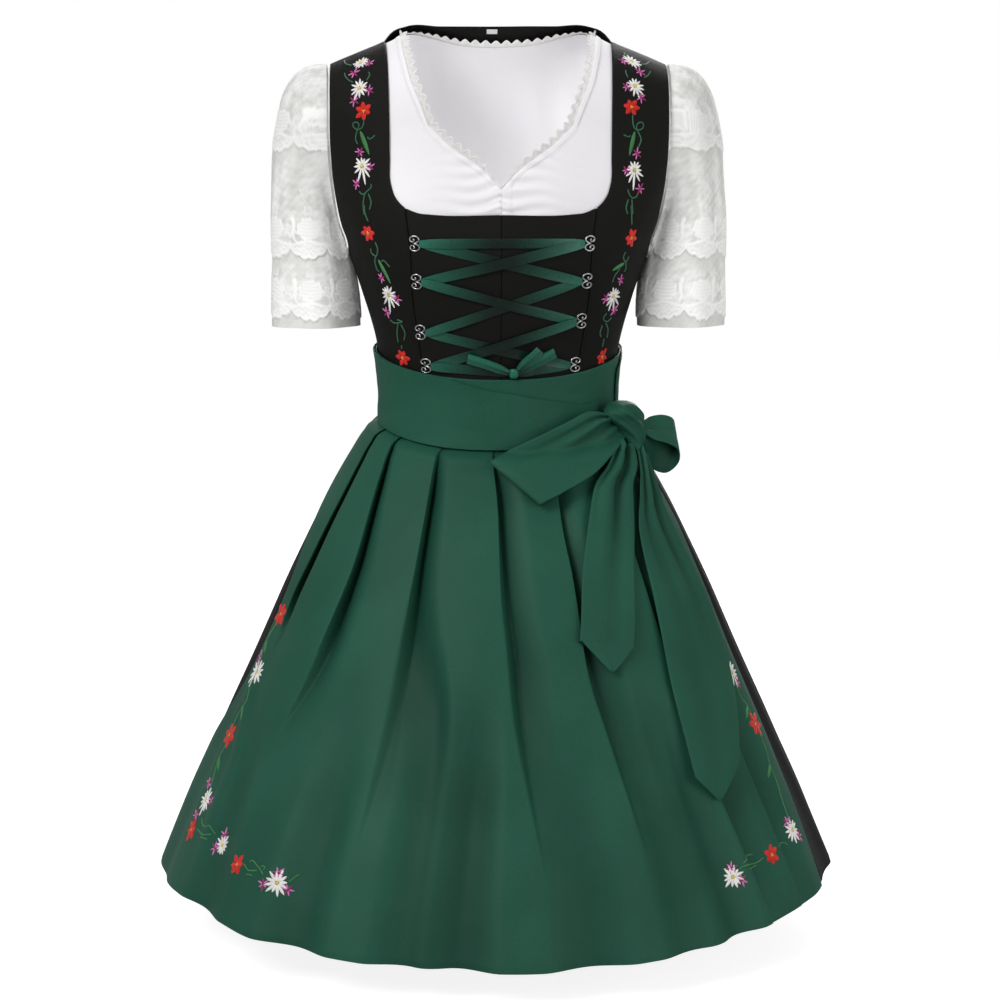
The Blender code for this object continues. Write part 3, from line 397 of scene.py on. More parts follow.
# Lengthwise folds of each tail, as troughs; negative depths are ridges. Places are shares of the width.
TAIL_FOLDS = {
    "apron_bow_tail_short": [
        # at_knot, at_end, depth, width, fade_length
        (0.16, 0.08, 0.0030, 0.050, 0.070),
        (0.62, 0.70, 0.0075, 0.120, 0.088),
        (0.34, 0.36, -0.0040, 0.170, 0.150),
    ],
    "apron_bow_tail_long": [
        # at_knot, at_end, depth, width, fade_length
        (0.32, 0.24, 0.0062, 0.060, 0.075),
        (0.66, 0.80, 0.0085, 0.120, 0.125),
        (0.48, 0.60, -0.0040, 0.100, 0.140),
    ],
}

# The bow beside the front: a knot, two loops and two tails of the same satin.
KNOT_ANGLE = 60.0
KNOT_FACING = 55.0
KNOT = [
    # height, lift, half_along, half_out, shift
    (-0.3880, 0.0375, 0.0050, 0.0050, 0.0050),
    (-0.3800, 0.0345, 0.0115, 0.0100, 0.0085),
    (-0.3700, 0.0310, 0.0175, 0.0150, 0.0075),
    (-0.3590, 0.0290, 0.0215, 0.0180, 0.0020),
    (-0.3500, 0.0285, 0.0225, 0.0185, -0.0040),
    (-0.3425, 0.0280, 0.0165, 0.0145, -0.0040),
    (-0.3385, 0.0280, 0.0060, 0.0055, -0.0030),
]
RIBBON_WALL = 0.0012
LEFT_LOOP_WIDTH_WAY = (-0.745, 0.667)
LEFT_LOOP = [
    # x, height, lift, width
    (0.1010, -0.3640, 0.0190, 0.018),
    (0.0850, -0.3680, 0.0170, 0.036),
    (0.0700, -0.3790, 0.0150, 0.048),
    (0.0530, -0.3925, 0.0125, 0.056),
    (0.0265, -0.4105, 0.0110, 0.060),
    (0.0165, -0.4160, 0.0118, 0.060),
    (0.0120, -0.4150, 0.0158, 0.060),
    (0.0165, -0.4105, 0.0198, 0.060),
    (0.0270, -0.4045, 0.0215, 0.060),
    (0.0545, -0.3876, 0.0255, 0.059),
    (0.0716, -0.3727, 0.0290, 0.052),
    (0.0864, -0.3603, 0.0300, 0.043),
    (0.1010, -0.3590, 0.0270, 0.020),
]
# The right loop's mouth opens down and forward; its cloth runs up and back from the mouth's edge.
RIGHT_LOOP_DEPTH_WAY = (-0.10, 0.62, 0.78)
RIGHT_LOOP = [
    # x, y, height, depth
    (0.1482, -0.0640, -0.3720, 0.014),
    (0.1590, -0.0620, -0.3790, 0.028),
    (0.1740, -0.0560, -0.3840, 0.035),
    (0.1850, -0.0500, -0.3920, 0.038),
    (0.1850, -0.0460, -0.4060, 0.038),
    (0.1730, -0.0450, -0.4160, 0.036),
    (0.1580, -0.0500, -0.4110, 0.030),
    (0.1520, -0.0600, -0.3960, 0.020),
    (0.1475, -0.0640, -0.3860, 0.012),
]
TAILS = {
    "apron_bow_tail_short": [
        # left_angle, left_height, right_angle, right_height, lift
        (48.5, -0.3800, 58.5, -0.3830, 0.0200),
        (39.5, -0.4010, 55.0, -0.4060, 0.0145),
        (30.6, -0.4260, 48.7, -0.4290, 0.0090),
        (22.1, -0.4890, 39.2, -0.4930, 0.0060),
        (18.2, -0.5590, 33.5, -0.5600, 0.0055),
        (18.0, -0.5640, 32.1, -0.5760, 0.0055),
        (24.6, -0.5950, 25.8, -0.5960, 0.0055),
    ],
    "apron_bow_tail_long": [
        # left_angle, left_height, right_angle, right_height, lift
        (59.5, -0.3830, 67.0, -0.3820, 0.0200),
        (56.5, -0.4090, 66.0, -0.4070, 0.0140),
        (52.0, -0.4300, 65.0, -0.4310, 0.0100),
        (44.5, -0.4680, 64.0, -0.4600, 0.0075),
        (41.9, -0.5310, 66.5, -0.5430, 0.0070),
        (40.3, -0.6060, 62.8, -0.6200, 0.0068),
        (39.5, -0.7020, 53.4, -0.6980, 0.0060),
        (43.6, -0.7265, 44.6, -0.7265, 0.0060),
    ],
}

# ---------------------------------------------------------------- curves and the figure's surface


def smooth(table, column, at):
    """A column's value at one or more places, on a smooth curve through the rows of the table."""
    keys = table[:, 0]
    values = table[:, column]
    slopes = np.gradient(values, keys)
    at = np.clip(at, keys[0], keys[-1])
    row = np.clip(np.searchsorted(keys, at) - 1, 0, len(keys) - 2)
    step = keys[row + 1] - keys[row]
    share = (at - keys[row]) / step
    rise = share * share * (3 - 2 * share)
    start_pull = share * (1 - share) ** 2 * step * slopes[row]
    end_pull = share * share * (share - 1) * step * slopes[row + 1]
    return values[row] * (1 - rise) + values[row + 1] * rise + start_pull + end_pull


def through(points, count):
    """Evenly numbered places on a smooth curve through a few points."""
    table = np.column_stack([np.arange(len(points)), np.array(points, float)])
    at = np.linspace(0, len(points) - 1, count)
    return np.stack([smooth(table, column, at) for column in range(1, table.shape[1])], axis=1)


def normals_of(points, axis=(0.0, 0.0)):
    """Unit normals of a grid of points, turned away from an upright axis, at first the wearer's."""
    normals = np.cross(np.gradient(points, axis=0), np.gradient(points, axis=1))
    normals /= np.maximum(np.linalg.norm(normals, axis=2, keepdims=True), 1e-12)
    outward = points[..., :2] - np.array(axis)
    if np.sum(normals[..., :2] * outward) < 0:
        normals = -normals
    return normals


def power_of(value, power):
    """A power of a value's size, with the value's sign."""
    return np.sign(value) * np.abs(value) ** power


def section_depth(distance, half_width, depth, squareness):
    share = np.clip(np.abs(distance) / half_width, 0, 1)
    return depth * (1 - share**squareness) ** (1 / squareness)


def edge_angle(distance, half_width):
    """The section angle, in radians, whose point lies at this distance from the middle."""
    share = np.clip(distance / half_width, 0, 1)
    return np.arcsin(share ** (FIGURE_SQUARENESS / 2))


def figure_half_width(level):
    return smooth(FIGURE, 1, np.minimum(level, CHEST_LINE))


def torso(x, level, side, back_neck=None):
    """Points on the figure's front or back. Levels above the chest line run over the shoulder to level 0."""
    x = np.asarray(x, float)
    level = np.asarray(level, float)
    distance = np.abs(x)
    low = np.minimum(level, CHEST_LINE)
    depth = smooth(FIGURE, 2 if side == FRONT else 3, low)
    low_y = side * section_depth(x, smooth(FIGURE, 1, low), depth, FIGURE_SQUARENESS)
    rise = np.clip((level - CHEST_LINE) / -CHEST_LINE, 0, 1)
    top_y = np.full_like(x, RIDGE_Y)
    top_z = smooth(RIDGE, 1, distance)
    control_z = top_z
    if back_neck is not None:
        reach = back_neck[-1, 0]
        inside = distance < reach
        dip = BACK_NECK_SLOPE_DIP * (1 - np.clip(distance / reach, 0, 1) ** 2)
        top_y = np.where(inside, smooth(back_neck, 1, distance), top_y)
        top_z = np.where(inside, smooth(back_neck, 2, distance), top_z)
        control_z = top_z - dip
    rounding = FRONT_SHOULDER_ROUNDING if side == FRONT else BACK_SHOULDER_ROUNDING
    first, second, third = (1 - rise) ** 2, 2 * rise * (1 - rise), rise**2
    y = low_y * (first + second * rounding) + top_y * third
    above = CHEST_LINE * first + control_z * second + top_z * third
    z = np.where(level <= CHEST_LINE, level, above)
    return np.stack([x, y, z], axis=-1)


def side_edge(level):
    """The side seam below the armhole, and the armhole's edge above it."""
    if level <= UNDERARM:
        return figure_half_width(level)
    return min(smooth(ARMHOLE, 1, level), figure_half_width(level))


def bodice_side_edge(level):
    """The bodice's armhole lies inside the blouse's, and meets it at the underarm."""
    return side_edge(level) - BODICE_ARMHOLE_INSET * np.clip((level - UNDERARM) / BODICE_ARMHOLE_RUN, 0, 1)


# ---------------------------------------------------------------- waist and skirt surfaces


def front_share(angle):
    """One at the middle of the front, none at the sides, and below none behind."""
    cosine = np.cos(np.radians(angle))
    even = (1 - BACK_RISE_SHARE) / 2
    return (1 - even) * cosine + even * cosine**2


def band_bottom(angle):
    return BAND_SIDE_BOTTOM - BAND_FRONT_DROP * front_share(angle)


def belt(angle, height, lift):
    """Points round the waist at angles from the middle of the front, lifted out from the figure."""
    turn = np.radians(np.asarray(angle, float))
    height = np.broadcast_to(height, turn.shape)
    depth = np.where(np.cos(turn) > 0, smooth(FIGURE, 2, height), smooth(FIGURE, 3, height))
    x = (smooth(FIGURE, 1, height) + lift) * power_of(np.sin(turn), 2 / FIGURE_SQUARENESS)
    y = -(depth + lift) * power_of(np.cos(turn), 2 / FIGURE_SQUARENESS)
    return np.stack([x, y, height], axis=-1)


def hem_drop(angle, side_height=SKIRT_HEM, front_drop=SKIRT_HEM_FRONT_DROP):
    return band_bottom(angle) - side_height + front_drop * front_share(angle)


def skirt_section(angle, drop):
    """The share of the way down, and the unfolded section's half-width, depth and squareness there."""
    bottom = band_bottom(angle)
    waist_height = np.maximum(bottom, bottom - drop)
    flare = smooth(FLARE, 1, drop)
    way = np.clip(drop / hem_drop(angle), 0, 1)
    squareness = FIGURE_SQUARENESS + (HEM_SQUARENESS - FIGURE_SQUARENESS) * np.clip(way * 2, 0, 1)
    front = np.cos(np.radians(angle)) > 0
    depth = np.where(front, smooth(FIGURE, 2, waist_height), smooth(FIGURE, 3, waist_height))
    depth = depth + flare * np.where(front, FRONT_FLARE_SHARE, BACK_FLARE_SHARE)
    return way, smooth(FIGURE, 1, waist_height) + flare, depth, squareness


def skirt(angle, drop, lift, folded=True, beneath=False):
    """Points on the skirt at angles from the middle of the front and drops below the waistband.

    The cloth beneath the apron is set back in place of folds, so that it stays clear of the apron's pleats.
    """
    angle = np.asarray(angle, float)
    drop = np.broadcast_to(drop, angle.shape)
    turn = np.radians(angle)
    way, half_width, depth, squareness = skirt_section(angle, drop)
    x = half_width * power_of(np.sin(turn), 2 / squareness)
    y = -depth * power_of(np.cos(turn), 2 / squareness)
    radius = np.hypot(x, y)
    inward, aside = fold_in(angle, way, radius) if folded else (0.0, 0.0)
    if beneath:
        from_left = ease((angle - HIDDEN_ANGLES[0]) / HIDDEN_RUNS[0])
        hidden = from_left * ease((HIDDEN_ANGLES[1] - angle) / HIDDEN_RUNS[1])
        set_back = SET_BACK * ease((way - SET_BACK_START) / SET_BACK_RUN)
        inward = inward + (set_back - inward) * hidden
        aside = aside * (1 - hidden)
    scale = (radius - inward + lift) / radius
    height = band_bottom(angle) - drop
    return np.stack([x * scale + aside * y / radius, y * scale - aside * x / radius, height], axis=-1)


def over_skirt(x, height, lift):
    """Points over the front of the waist and skirt, clear of the folds, placed by x and height."""
    x = np.asarray(x, float)
    height = np.asarray(height, float)
    angle = np.zeros_like(x)
    for _ in range(8):
        _, half_width, _, squareness = skirt_section(angle, band_bottom(angle) - height)
        share = np.clip(np.abs(x) / half_width, 0, 1)
        angle = np.sign(x) * np.degrees(np.arcsin(share ** (squareness / 2)))
    return skirt(angle, band_bottom(angle) - height, lift, folded=False)


def path_angle(path, way):
    """The angle, at a share of the way down, of a path of (share, angle) pairs."""
    return smooth(np.array(path), 1, way)


# ---------------------------------------------------------------- meshes from grids of points


def grid_faces(rows, columns, closed=False, start=0):
    index = np.arange(rows * columns).reshape(rows, columns) + start
    if closed:
        index = np.concatenate([index, index[:, :1]], axis=1)
    corners = (index[:-1, :-1], index[:-1, 1:], index[1:, 1:], index[1:, :-1])
    return np.stack(corners, axis=-1).reshape(-1, 4)


def cloth_lengths(grid):
    """The distance along the cloth from its middle column, and down it from its first row, for each point."""
    middle = grid.shape[1] // 2
    steps = np.linalg.norm(np.diff(grid, axis=1), axis=2)
    along = np.concatenate([np.zeros((len(grid), 1)), np.cumsum(steps, axis=1)], axis=1)
    along -= along[:, middle : middle + 1]
    drops = np.linalg.norm(np.diff(grid[:, middle], axis=0), axis=1)
    down = np.concatenate([[0.0], np.cumsum(drops)])
    return np.stack([along, np.broadcast_to(down[:, None], along.shape)], axis=-1)


PIECES = {}
SHARP_ANGLE = 55
# How much of a wall's thickness is left at its border.
BORDER_SHARE = 0.35
EDGE_MARGINS = (0.0007, 0.0018)
NOISE_OCTAVES = (1.0, 1.7, 2.6)
NOISE_WAVES = 4
NOISE_SPAN = 4.5


def add_mesh(name, points, faces, material, lengths, values=None, colours=None, slot=None):
    """A piece from flat arrays. Values are per point, and become attributes.

    It rides on the body and stands for the CAD node of its name, in its material's slot. A piece that is
    passed a slot is sewn on another, and stands for no node.
    """
    data = bpy.data.meshes.new(f"{name}_fine")
    data.from_pydata(np.asarray(points).reshape(-1, 3).tolist(), [], [list(face) for face in faces])
    if signed_volume(data) < 0:
        data.flip_normals()
    corner = np.empty(len(data.loops), np.int32)
    data.loops.foreach_get("vertex_index", corner)
    layer = data.uv_layers.new(name="UVMap")
    layer.data.foreach_set("uv", np.asarray(lengths, np.float32).reshape(-1, 2)[corner].ravel())
    for key, value in (values or {}).items():
        attribute = data.attributes.new(key, "FLOAT", "POINT")
        attribute.data.foreach_set("value", np.asarray(value, np.float32).ravel())
    if colours is not None:
        attribute = data.color_attributes.new("thread_colour", "FLOAT_COLOR", "POINT")
        attribute.data.foreach_set("color", np.asarray(colours, np.float32).ravel())
    data.shade_smooth()
    data.set_sharp_from_angle(angle=math.radians(SHARP_ANGLE))
    data.materials.append(MATERIALS[material])
    obj = bpy.data.objects.new(f"{name}_fine", data)
    bpy.context.scene.collection.objects.link(obj)
    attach(obj, "root")
    stands_for = [name] if slot is None else []
    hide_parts(*stands_for)
    PIECES[name] = obj


def signed_volume(data):
    data.calc_loop_triangles()
    points = np.empty(len(data.vertices) * 3)
    data.vertices.foreach_get("co", points)
    points = points.reshape(-1, 3)
    corners = np.empty(len(data.loop_triangles) * 3, np.int32)
    data.loop_triangles.foreach_get("vertices", corners)
    a, b, c = (points[corners[place::3]] for place in range(3))
    return float(np.sum(a * np.cross(b, c)))


def border_of(rows, columns):
    """The indices round a grid's border, in order."""
    index = np.arange(rows * columns).reshape(rows, columns)
    return np.concatenate([index[0, :-1], index[:-1, -1], index[-1, :0:-1], index[:0:-1, 0]])


def add_wall(name, near, far, material, shade=0.0, near_shade=0.0):
    """A closed cloth wall between two grids of points, which have the same rows and columns.

    The shade, from 0 to 1, is how deep in a fold the cloth lies; near_shade adds to it on the near face.
    """
    rows, columns = near.shape[:2]
    count = rows * columns
    rim = border_of(rows, columns)
    after = np.roll(rim, -1)
    faces = [
        grid_faces(rows, columns),
        grid_faces(rows, columns, start=count)[:, ::-1],
        np.stack([rim, rim + count, after + count, after], axis=-1),
    ]
    lengths = cloth_lengths(far)
    shade = np.broadcast_to(shade, near.shape[:2]).ravel()
    values = {"fold_shade": np.clip(np.concatenate([shade + near_shade, shade]), 0, 1)}
    points = np.concatenate([near.reshape(-1, 3), far.reshape(-1, 3)])
    lengths = np.concatenate([lengths.reshape(-1, 2)] * 2)
    add_mesh(name, points, np.concatenate(faces), material, lengths, values)


def rounded(lift_near, lift_far, shape):
    """The outer lift of a wall, drawn in at its border so that the edge is soft."""
    lift = np.broadcast_to(lift_far, shape).astype(float).copy()
    low = np.broadcast_to(lift_near, shape)
    for border in (np.s_[0, :], np.s_[-1, :], np.s_[:, 0], np.s_[:, -1]):
        lift[border] = low[border] + (lift[border] - low[border]) * BORDER_SHARE
    return lift


def lifted_wall(name, points, layer, material, relief=0.0, shade=0.0, near_shade=0.0):
    """A cloth wall on a grid of points; relief moves both of its faces out, in metres."""
    normals = normals_of(points)
    near = np.broadcast_to(np.asarray(layer[0] + relief, float), points.shape[:2])
    far = rounded(near, layer[1] + relief, points.shape[:2])
    near_grid, far_grid = (points + normals * lift[..., None] for lift in (near, far))
    add_wall(name, near_grid, far_grid, material, shade, near_shade)


def edged(count, length, margins=EDGE_MARGINS):
    """Shares from 0 to 1 in even steps, with lines close to both ends. Length and margins are in metres."""
    close = np.array(margins) / length
    middle = np.linspace(0, 1, count)[1:-1]
    middle = middle[(middle > close[-1]) & (middle < 1 - close[-1])]
    return np.concatenate([[0.0], close, middle, 1 - close[::-1], [1.0]])


def ease(value):
    """A soft step from 0 to 1 as the value goes from 0 to 1."""
    value = np.clip(value, 0, 1)
    return value * value * (3 - 2 * value)


def distance_to(points, line):
    """Each point's distance to a line of close points."""
    flat = points.reshape(-1, 3)
    nearest = np.full(len(flat), np.inf)
    for place in line:
        nearest = np.minimum(nearest, np.linalg.norm(flat - place, axis=1))
    return nearest.reshape(points.shape[:-1])


def soft_noise(points, scale, seed):
    """Smooth noise from -1 to 1 at points; the scale is in waves a metre."""
    random = np.random.default_rng(seed)
    total = np.zeros(points.shape[:-1])
    for octave in NOISE_OCTAVES:
        for _ in range(NOISE_WAVES):
            way = random.normal(size=3)
            way *= 2 * math.pi * scale * octave / np.linalg.norm(way)
            total += np.sin(points @ way + random.uniform(0, 2 * math.pi)) / octave
    return total / NOISE_SPAN


# ---------------------------------------------------------------- materials


def colour(red, green, blue):
    """A linear colour from 0 to 255 display values."""
    parts = np.array([red, green, blue]) / 255
    linear = np.where(parts <= 0.04045, parts / 12.92, ((parts + 0.055) / 1.055) ** 2.4)
    return (*(float(part) for part in linear), 1.0)


BLACK = colour(0, 0, 0)
# Features of noise a metre: broad soft patches, uneven threads, and the fuzz of lace.
PATCH_SCALE = 9.0
SLUB_SCALE = 420.0
FUZZ_SCALE = 900.0
ROUGHNESS_SWING = 0.07
SATIN_SLANT = 0.12
STRAND_LEVEL = 0.45
STITCH_PITCH = 0.00055
# Colours are display values from 0 to 255, and pitches and depths are in metres.
WOVEN = {
    # material: (light, dark, roughness, weave, pitch, depth, specular, fold_darkening)
    "green_satin": ((40, 92, 74), (31, 78, 62), 0.50, "satin", 0.0007, 0.00004, 0.12, 0.40),
    "green_ribbon": ((48, 128, 104), (30, 96, 78), 0.30, "satin", 0.0006, 0.00003, 0.34, 0.94),
    "black_twill": ((20, 19, 17), (13, 13, 11), 0.70, "twill", 0.0008, 0.00006, 0.16, 0.40),
    "black_skirt": ((30, 31, 32), (21, 21, 22), 0.70, "twill", 0.0008, 0.00006, 0.15, 0.40),
    "white_cotton": ((245, 243, 245), (238, 236, 239), 0.85, "plain", 0.0008, 0.00004, 0.20, 0.40),
    "white_label": ((235, 235, 235), (222, 222, 224), 0.60, "satin", 0.0006, 0.00004, 0.30, 0.40),
}
LACES = {
    # material: (net, thread, net_pitch, (alpha between the net's strands, alpha of the strands))
    "sleeve_lace": ((217, 217, 214), (255, 255, 254), 0.0016, (0.90, 0.99)),
    "edging_lace": ((243, 242, 241), (255, 255, 253), 0.0018, (0.80, 0.98)),
}


class Finish:
    """A material with one Principled shader, and short ways to add nodes to it."""

    def __init__(self, name, roughness, specular):
        self.material = bpy.data.materials.new(name)
        self.material.use_nodes = True
        self.tree = self.material.node_tree
        self.shader = self.tree.nodes["Principled BSDF"]
        self.set("Roughness", roughness)
        self.set("Specular IOR Level", specular)

    def give(self, socket, value):
        """Links a socket to a node's output, or sets it to a value."""
        if isinstance(value, bpy.types.NodeSocket):
            self.tree.links.new(value, socket)
        else:
            socket.default_value = value

    def set(self, socket, value):
        self.give(self.shader.inputs[socket], value)

    def node(self, kind, inputs=(), **settings):
        node = self.tree.nodes.new("ShaderNode" + kind)
        for key, value in settings.items():
            setattr(node, key, value)
        for key, value in dict(inputs).items():
            self.give(node.inputs[key], value)
        return node

    def math(self, operation, first, second, clamped=False):
        return self.node("Math", {0: first, 1: second}, operation=operation, use_clamp=clamped).outputs[0]

    def attribute(self, name, output="Fac"):
        return self.node("Attribute", attribute_name=name).outputs[output]

    def noise(self, scale, detail):
        """Noise over the set's own coordinates; the scale is in features a metre."""
        place = self.node("TexCoord").outputs["Object"]
        return self.node("TexNoise", {"Vector": place, "Scale": scale, "Detail": detail}).outputs["Fac"]

    def lengths(self):
        """The distances along and across the cloth, in metres."""
        split = self.node("SeparateXYZ", {0: self.node("UVMap").outputs[0]})
        return split.outputs[0], split.outputs[1]

    def wave(self, distance, pitch):
        return self.math("SINE", self.math("MULTIPLY", distance, 2 * math.pi / pitch), 0.0)

    def mix(self, share, first, second):
        return self.node("Mix", {0: share, 6: first, 7: second}, data_type="RGBA").outputs[2]

    def spread(self, value, low, high):
        """A value from 0 to 1 taken to the range from low to high."""
        return self.math("ADD", self.math("MULTIPLY", value, high - low), low)

    def relief(self, height, depth):
        """Bump of a height from 0 to 1; the depth is in metres."""
        self.set("Normal", self.node("Bump", {"Height": height, "Distance": depth}).outputs[0])


def weave_height(finish, weave, pitch):
    """Threads from 0 to 1: a plain weave, a twill's slanting ribs, or a satin's long floats."""
    along, across = finish.lengths()
    if weave == "plain":
        threads = finish.math("MULTIPLY", finish.wave(along, pitch), finish.wave(across, pitch))
    elif weave == "twill":
        threads = finish.wave(finish.math("ADD", along, across), pitch)
    else:
        slow = finish.math("MULTIPLY", across, SATIN_SLANT)
        threads = finish.wave(finish.math("ADD", along, slow), pitch)
    return finish.spread(threads, 0.5, 1.0)


def cloth_finish(name, light, dark, roughness, weave, pitch, depth, specular, fold_darkening):
    """Woven cloth: two near tones in soft patches and fine slubs, with its threads as relief."""
    finish = Finish(name, roughness, specular)
    patches = finish.noise(PATCH_SCALE, 3.0)
    slubs = finish.noise(SLUB_SCALE, 2.0)
    share = finish.math("ADD", finish.spread(patches, -0.6, 1.2), finish.spread(slubs, -0.35, 0.35), True)
    threads = weave_height(finish, weave, pitch)
    # Painted shade: the fold_shade attribute mixes the colour towards black, in folds, pleats and other
    # shaded parts.
    shade = finish.math("MULTIPLY", finish.attribute("fold_shade"), fold_darkening)
    tone = finish.mix(share, colour(*dark), colour(*light))
    finish.set("Base Color", finish.mix(shade, tone, BLACK))
    finish.set("Roughness", finish.spread(slubs, roughness - ROUGHNESS_SWING, roughness + ROUGHNESS_SWING))
    finish.relief(finish.math("ADD", threads, finish.spread(slubs, 0.0, 0.8)), depth)
    return finish.material


def lace_finish(name, net_tone, thread_tone, net_pitch, net_alpha):
    """Lace: an attribute says how much thread covers the net, from none to all."""
    finish = Finish(name, 0.85, 0.2)
    # The attribute is the thread's cover, and on the sleeves it also holds painted shadow below each tier.
    cover = finish.attribute("thread_cover_and_shadow")
    along, across = finish.lengths()
    rising, falling = (finish.wave(finish.math(way, along, across), net_pitch) for way in ("ADD", "SUBTRACT"))
    strands = finish.math("GREATER_THAN", finish.math("MAXIMUM", rising, falling), STRAND_LEVEL)
    fuzz = finish.noise(FUZZ_SCALE, 2.0)
    see = finish.spread(strands, *net_alpha)
    finish.set("Alpha", finish.math("ADD", see, finish.math("MULTIPLY", cover, 1.4), True))
    covered = finish.math("ADD", cover, finish.spread(fuzz, -0.2, 0.2), True)
    finish.set("Base Color", finish.mix(covered, colour(*net_tone), colour(*thread_tone)))
    height = finish.math("ADD", finish.math("MULTIPLY", strands, 0.3), finish.math("ADD", cover, fuzz))
    finish.relief(height, 0.0004)
    return finish.material


def thread_finish(name):
    """Embroidery thread: its colour is an attribute, and its stitches run across the width of each shape."""
    finish = Finish(name, 0.45, 0.4)
    finish.set("Sheen Weight", 0.1)
    finish.set("Sheen Roughness", 0.4)
    tint = finish.attribute("thread_colour", "Color")
    _, across = finish.lengths()
    stitches = finish.spread(finish.wave(across, STITCH_PITCH), 0.5, 1.0)
    finish.set("Base Color", finish.mix(finish.math("MULTIPLY", stitches, 0.14), tint, BLACK))
    finish.relief(stitches, 0.00015)
    return finish.material


def wire_finish(name):
    """Silvered wire with a little tarnish."""
    finish = Finish(name, 0.28, 0.5)
    finish.set("Metallic", 1.0)
    tarnish = finish.noise(300.0, 3.0)
    finish.set("Base Color", finish.mix(tarnish, colour(150, 150, 150), colour(225, 225, 228)))
    finish.set("Roughness", finish.spread(tarnish, 0.2, 0.4))
    return finish.material


MATERIALS = {
    **{name: cloth_finish(name, *row) for name, row in WOVEN.items()},
    **{name: lace_finish(name, *row) for name, row in LACES.items()},
    "embroidery_thread": thread_finish("embroidery_thread"),
    "silver_wire": wire_finish("silver_wire"),
}

# ---------------------------------------------------------------- skirt, apron and their folds

# Pleats and soft folds of the front, as troughs. Depth and widths are in metres, the widths as they are half
# way down; the rest are shares of the way down. Each path gives the trough's angle at shares of the way down.
FRONT_FOLDS = [
    # depth, start, full, fade, end, left_width, right_width, path of (way, angle)
    (0.015, -0.06, 0.10, 0.30, 0.50, 0.0050, 0.017, (
        (0.00, -69.1), (0.14, -67.9), (0.27, -69.0), (0.36, -70.5))),
    (0.017, -0.06, 0.12, 0.38, 0.66, 0.0045, 0.030, (
        (0.00, -52.3), (0.11, -48.2), (0.23, -45.3), (0.36, -46.2),
        (0.49, -49.0), (0.60, -52.5), (0.70, -54.5))),
    (0.018, -0.05, 0.12, 0.36, 0.84, 0.0045, 0.032, (
        (0.00, -24.9), (0.10, -23.6), (0.30, -22.9), (0.45, -23.6),
        (0.56, -24.7), (0.66, -25.7), (0.85, -27.5))),
    (0.018, -0.05, 0.12, 0.42, 0.88, 0.0045, 0.032, (
        (0.00, -1.8), (0.10, -0.2), (0.18, 0.3), (0.30, 1.4),
        (0.41, 3.0), (0.57, 4.3), (0.68, 5.5), (0.90, 8.0))),
    (0.018, -0.05, 0.12, 0.44, 0.86, 0.0045, 0.030, (
        (0.00, 19.0), (0.08, 19.1), (0.17, 18.8), (0.24, 19.9),
        (0.45, 22.0), (0.53, 23.3), (0.67, 24.8), (0.88, 26.8))),
    (0.016, -0.05, 0.14, 0.60, 1.10, 0.0060, 0.028, ((0.00, 41.0), (0.30, 44.0), (1.00, 50.0))),
    (0.014, -0.05, 0.14, 0.50, 1.10, 0.0060, 0.024, ((0.00, 62.0), (0.40, 60.0), (1.00, 60.0))),
    (0.014, 0.24, 0.55, 1.10, 1.60, 0.014, 0.022, (
        (0.26, -21.0), (0.45, -17.6), (0.59, -15.9), (0.95, -16.6))),
    (0.018, 0.42, 0.75, 1.20, 1.70, 0.012, 0.026, ((0.45, -5.4), (0.60, -6.3), (0.94, -8.6))),
    (0.012, 0.50, 0.80, 1.20, 1.70, 0.016, 0.026, ((0.60, 12.4), (0.94, 13.6))),
    (0.012, 0.45, 0.75, 1.20, 1.70, 0.014, 0.024, ((0.50, 30.4), (0.96, 31.8))),
    (0.013, 0.45, 0.75, 1.20, 1.70, 0.014, 0.024, ((0.50, 34.8), (0.70, 38.6), (0.96, 41.0))),
    (0.012, 0.48, 0.80, 1.20, 1.70, 0.016, 0.026, ((0.50, -33.0), (0.96, -36.5))),
    (0.008, 0.55, 0.80, 1.20, 1.70, 0.018, 0.026, ((0.60, -62.0), (0.96, -60.0))),
    (0.003, 0.30, 0.60, 1.20, 1.70, 0.020, 0.024, ((0.30, -81.0), (1.00, -84.0))),
    (0.006, 0.00, 0.30, 1.20, 1.70, 0.020, 0.024, ((0.00, 80.0), (1.00, 80.0))),
    (-0.0035, 0.50, 0.62, 0.80, 0.98, 0.010, 0.009, (
        (0.50, -79.0), (0.55, -76.0), (0.69, -68.0), (0.84, -66.6))),
]
PLEATS_IN_FRONT = 7
# Behind, each pleat runs from the waist to the hem. The side pleats show at the edges of the apron.
BACK_FOLDS = [
    # at_waist, at_hem, depth, left_width, right_width, end
    (103.0, 101.0, 0.013, 0.020, 0.034, 1.40),
    (124.0, 121.0, 0.016, 0.030, 0.018, 0.95),
    (145.0, 146.0, 0.013, 0.020, 0.032, 1.40),
    (168.0, 166.0, 0.017, 0.018, 0.034, 1.40),
    (191.0, 193.0, 0.014, 0.034, 0.020, 1.00),
    (212.0, 211.0, 0.017, 0.020, 0.036, 1.40),
    (235.0, 238.0, 0.013, 0.032, 0.018, 1.40),
    (256.0, 257.0, 0.015, 0.020, 0.032, 0.90),
]
KNIFE_PLEATS = FRONT_FOLDS[:PLEATS_IN_FRONT]
SOFT_FOLDS = FRONT_FOLDS[PLEATS_IN_FRONT:]
BACK_PLEATS = [
    (depth, 0.00, 0.16, end - 0.35, end, left, right, ((0.0, at_waist), (0.4, at_hem), (1.0, at_hem)))
    for at_waist, at_hem, depth, left, right, end in BACK_FOLDS
]
# Broad swells between the folds. Each row is a whole number of waves round the hem.
SWELLS = [
    # waves_round, twist, phase, height
    (5, 0.8, 0.4, 0.0022),
    (9, -1.4, 2.1, 0.0016),
    (14, 2.3, 4.0, 0.0013),
    (23, -2.0, 1.2, 0.0007),
]
# How much closer together the columns of points are beside a fold's crest and bottom.
PLEAT_CLUSTER = 0.35
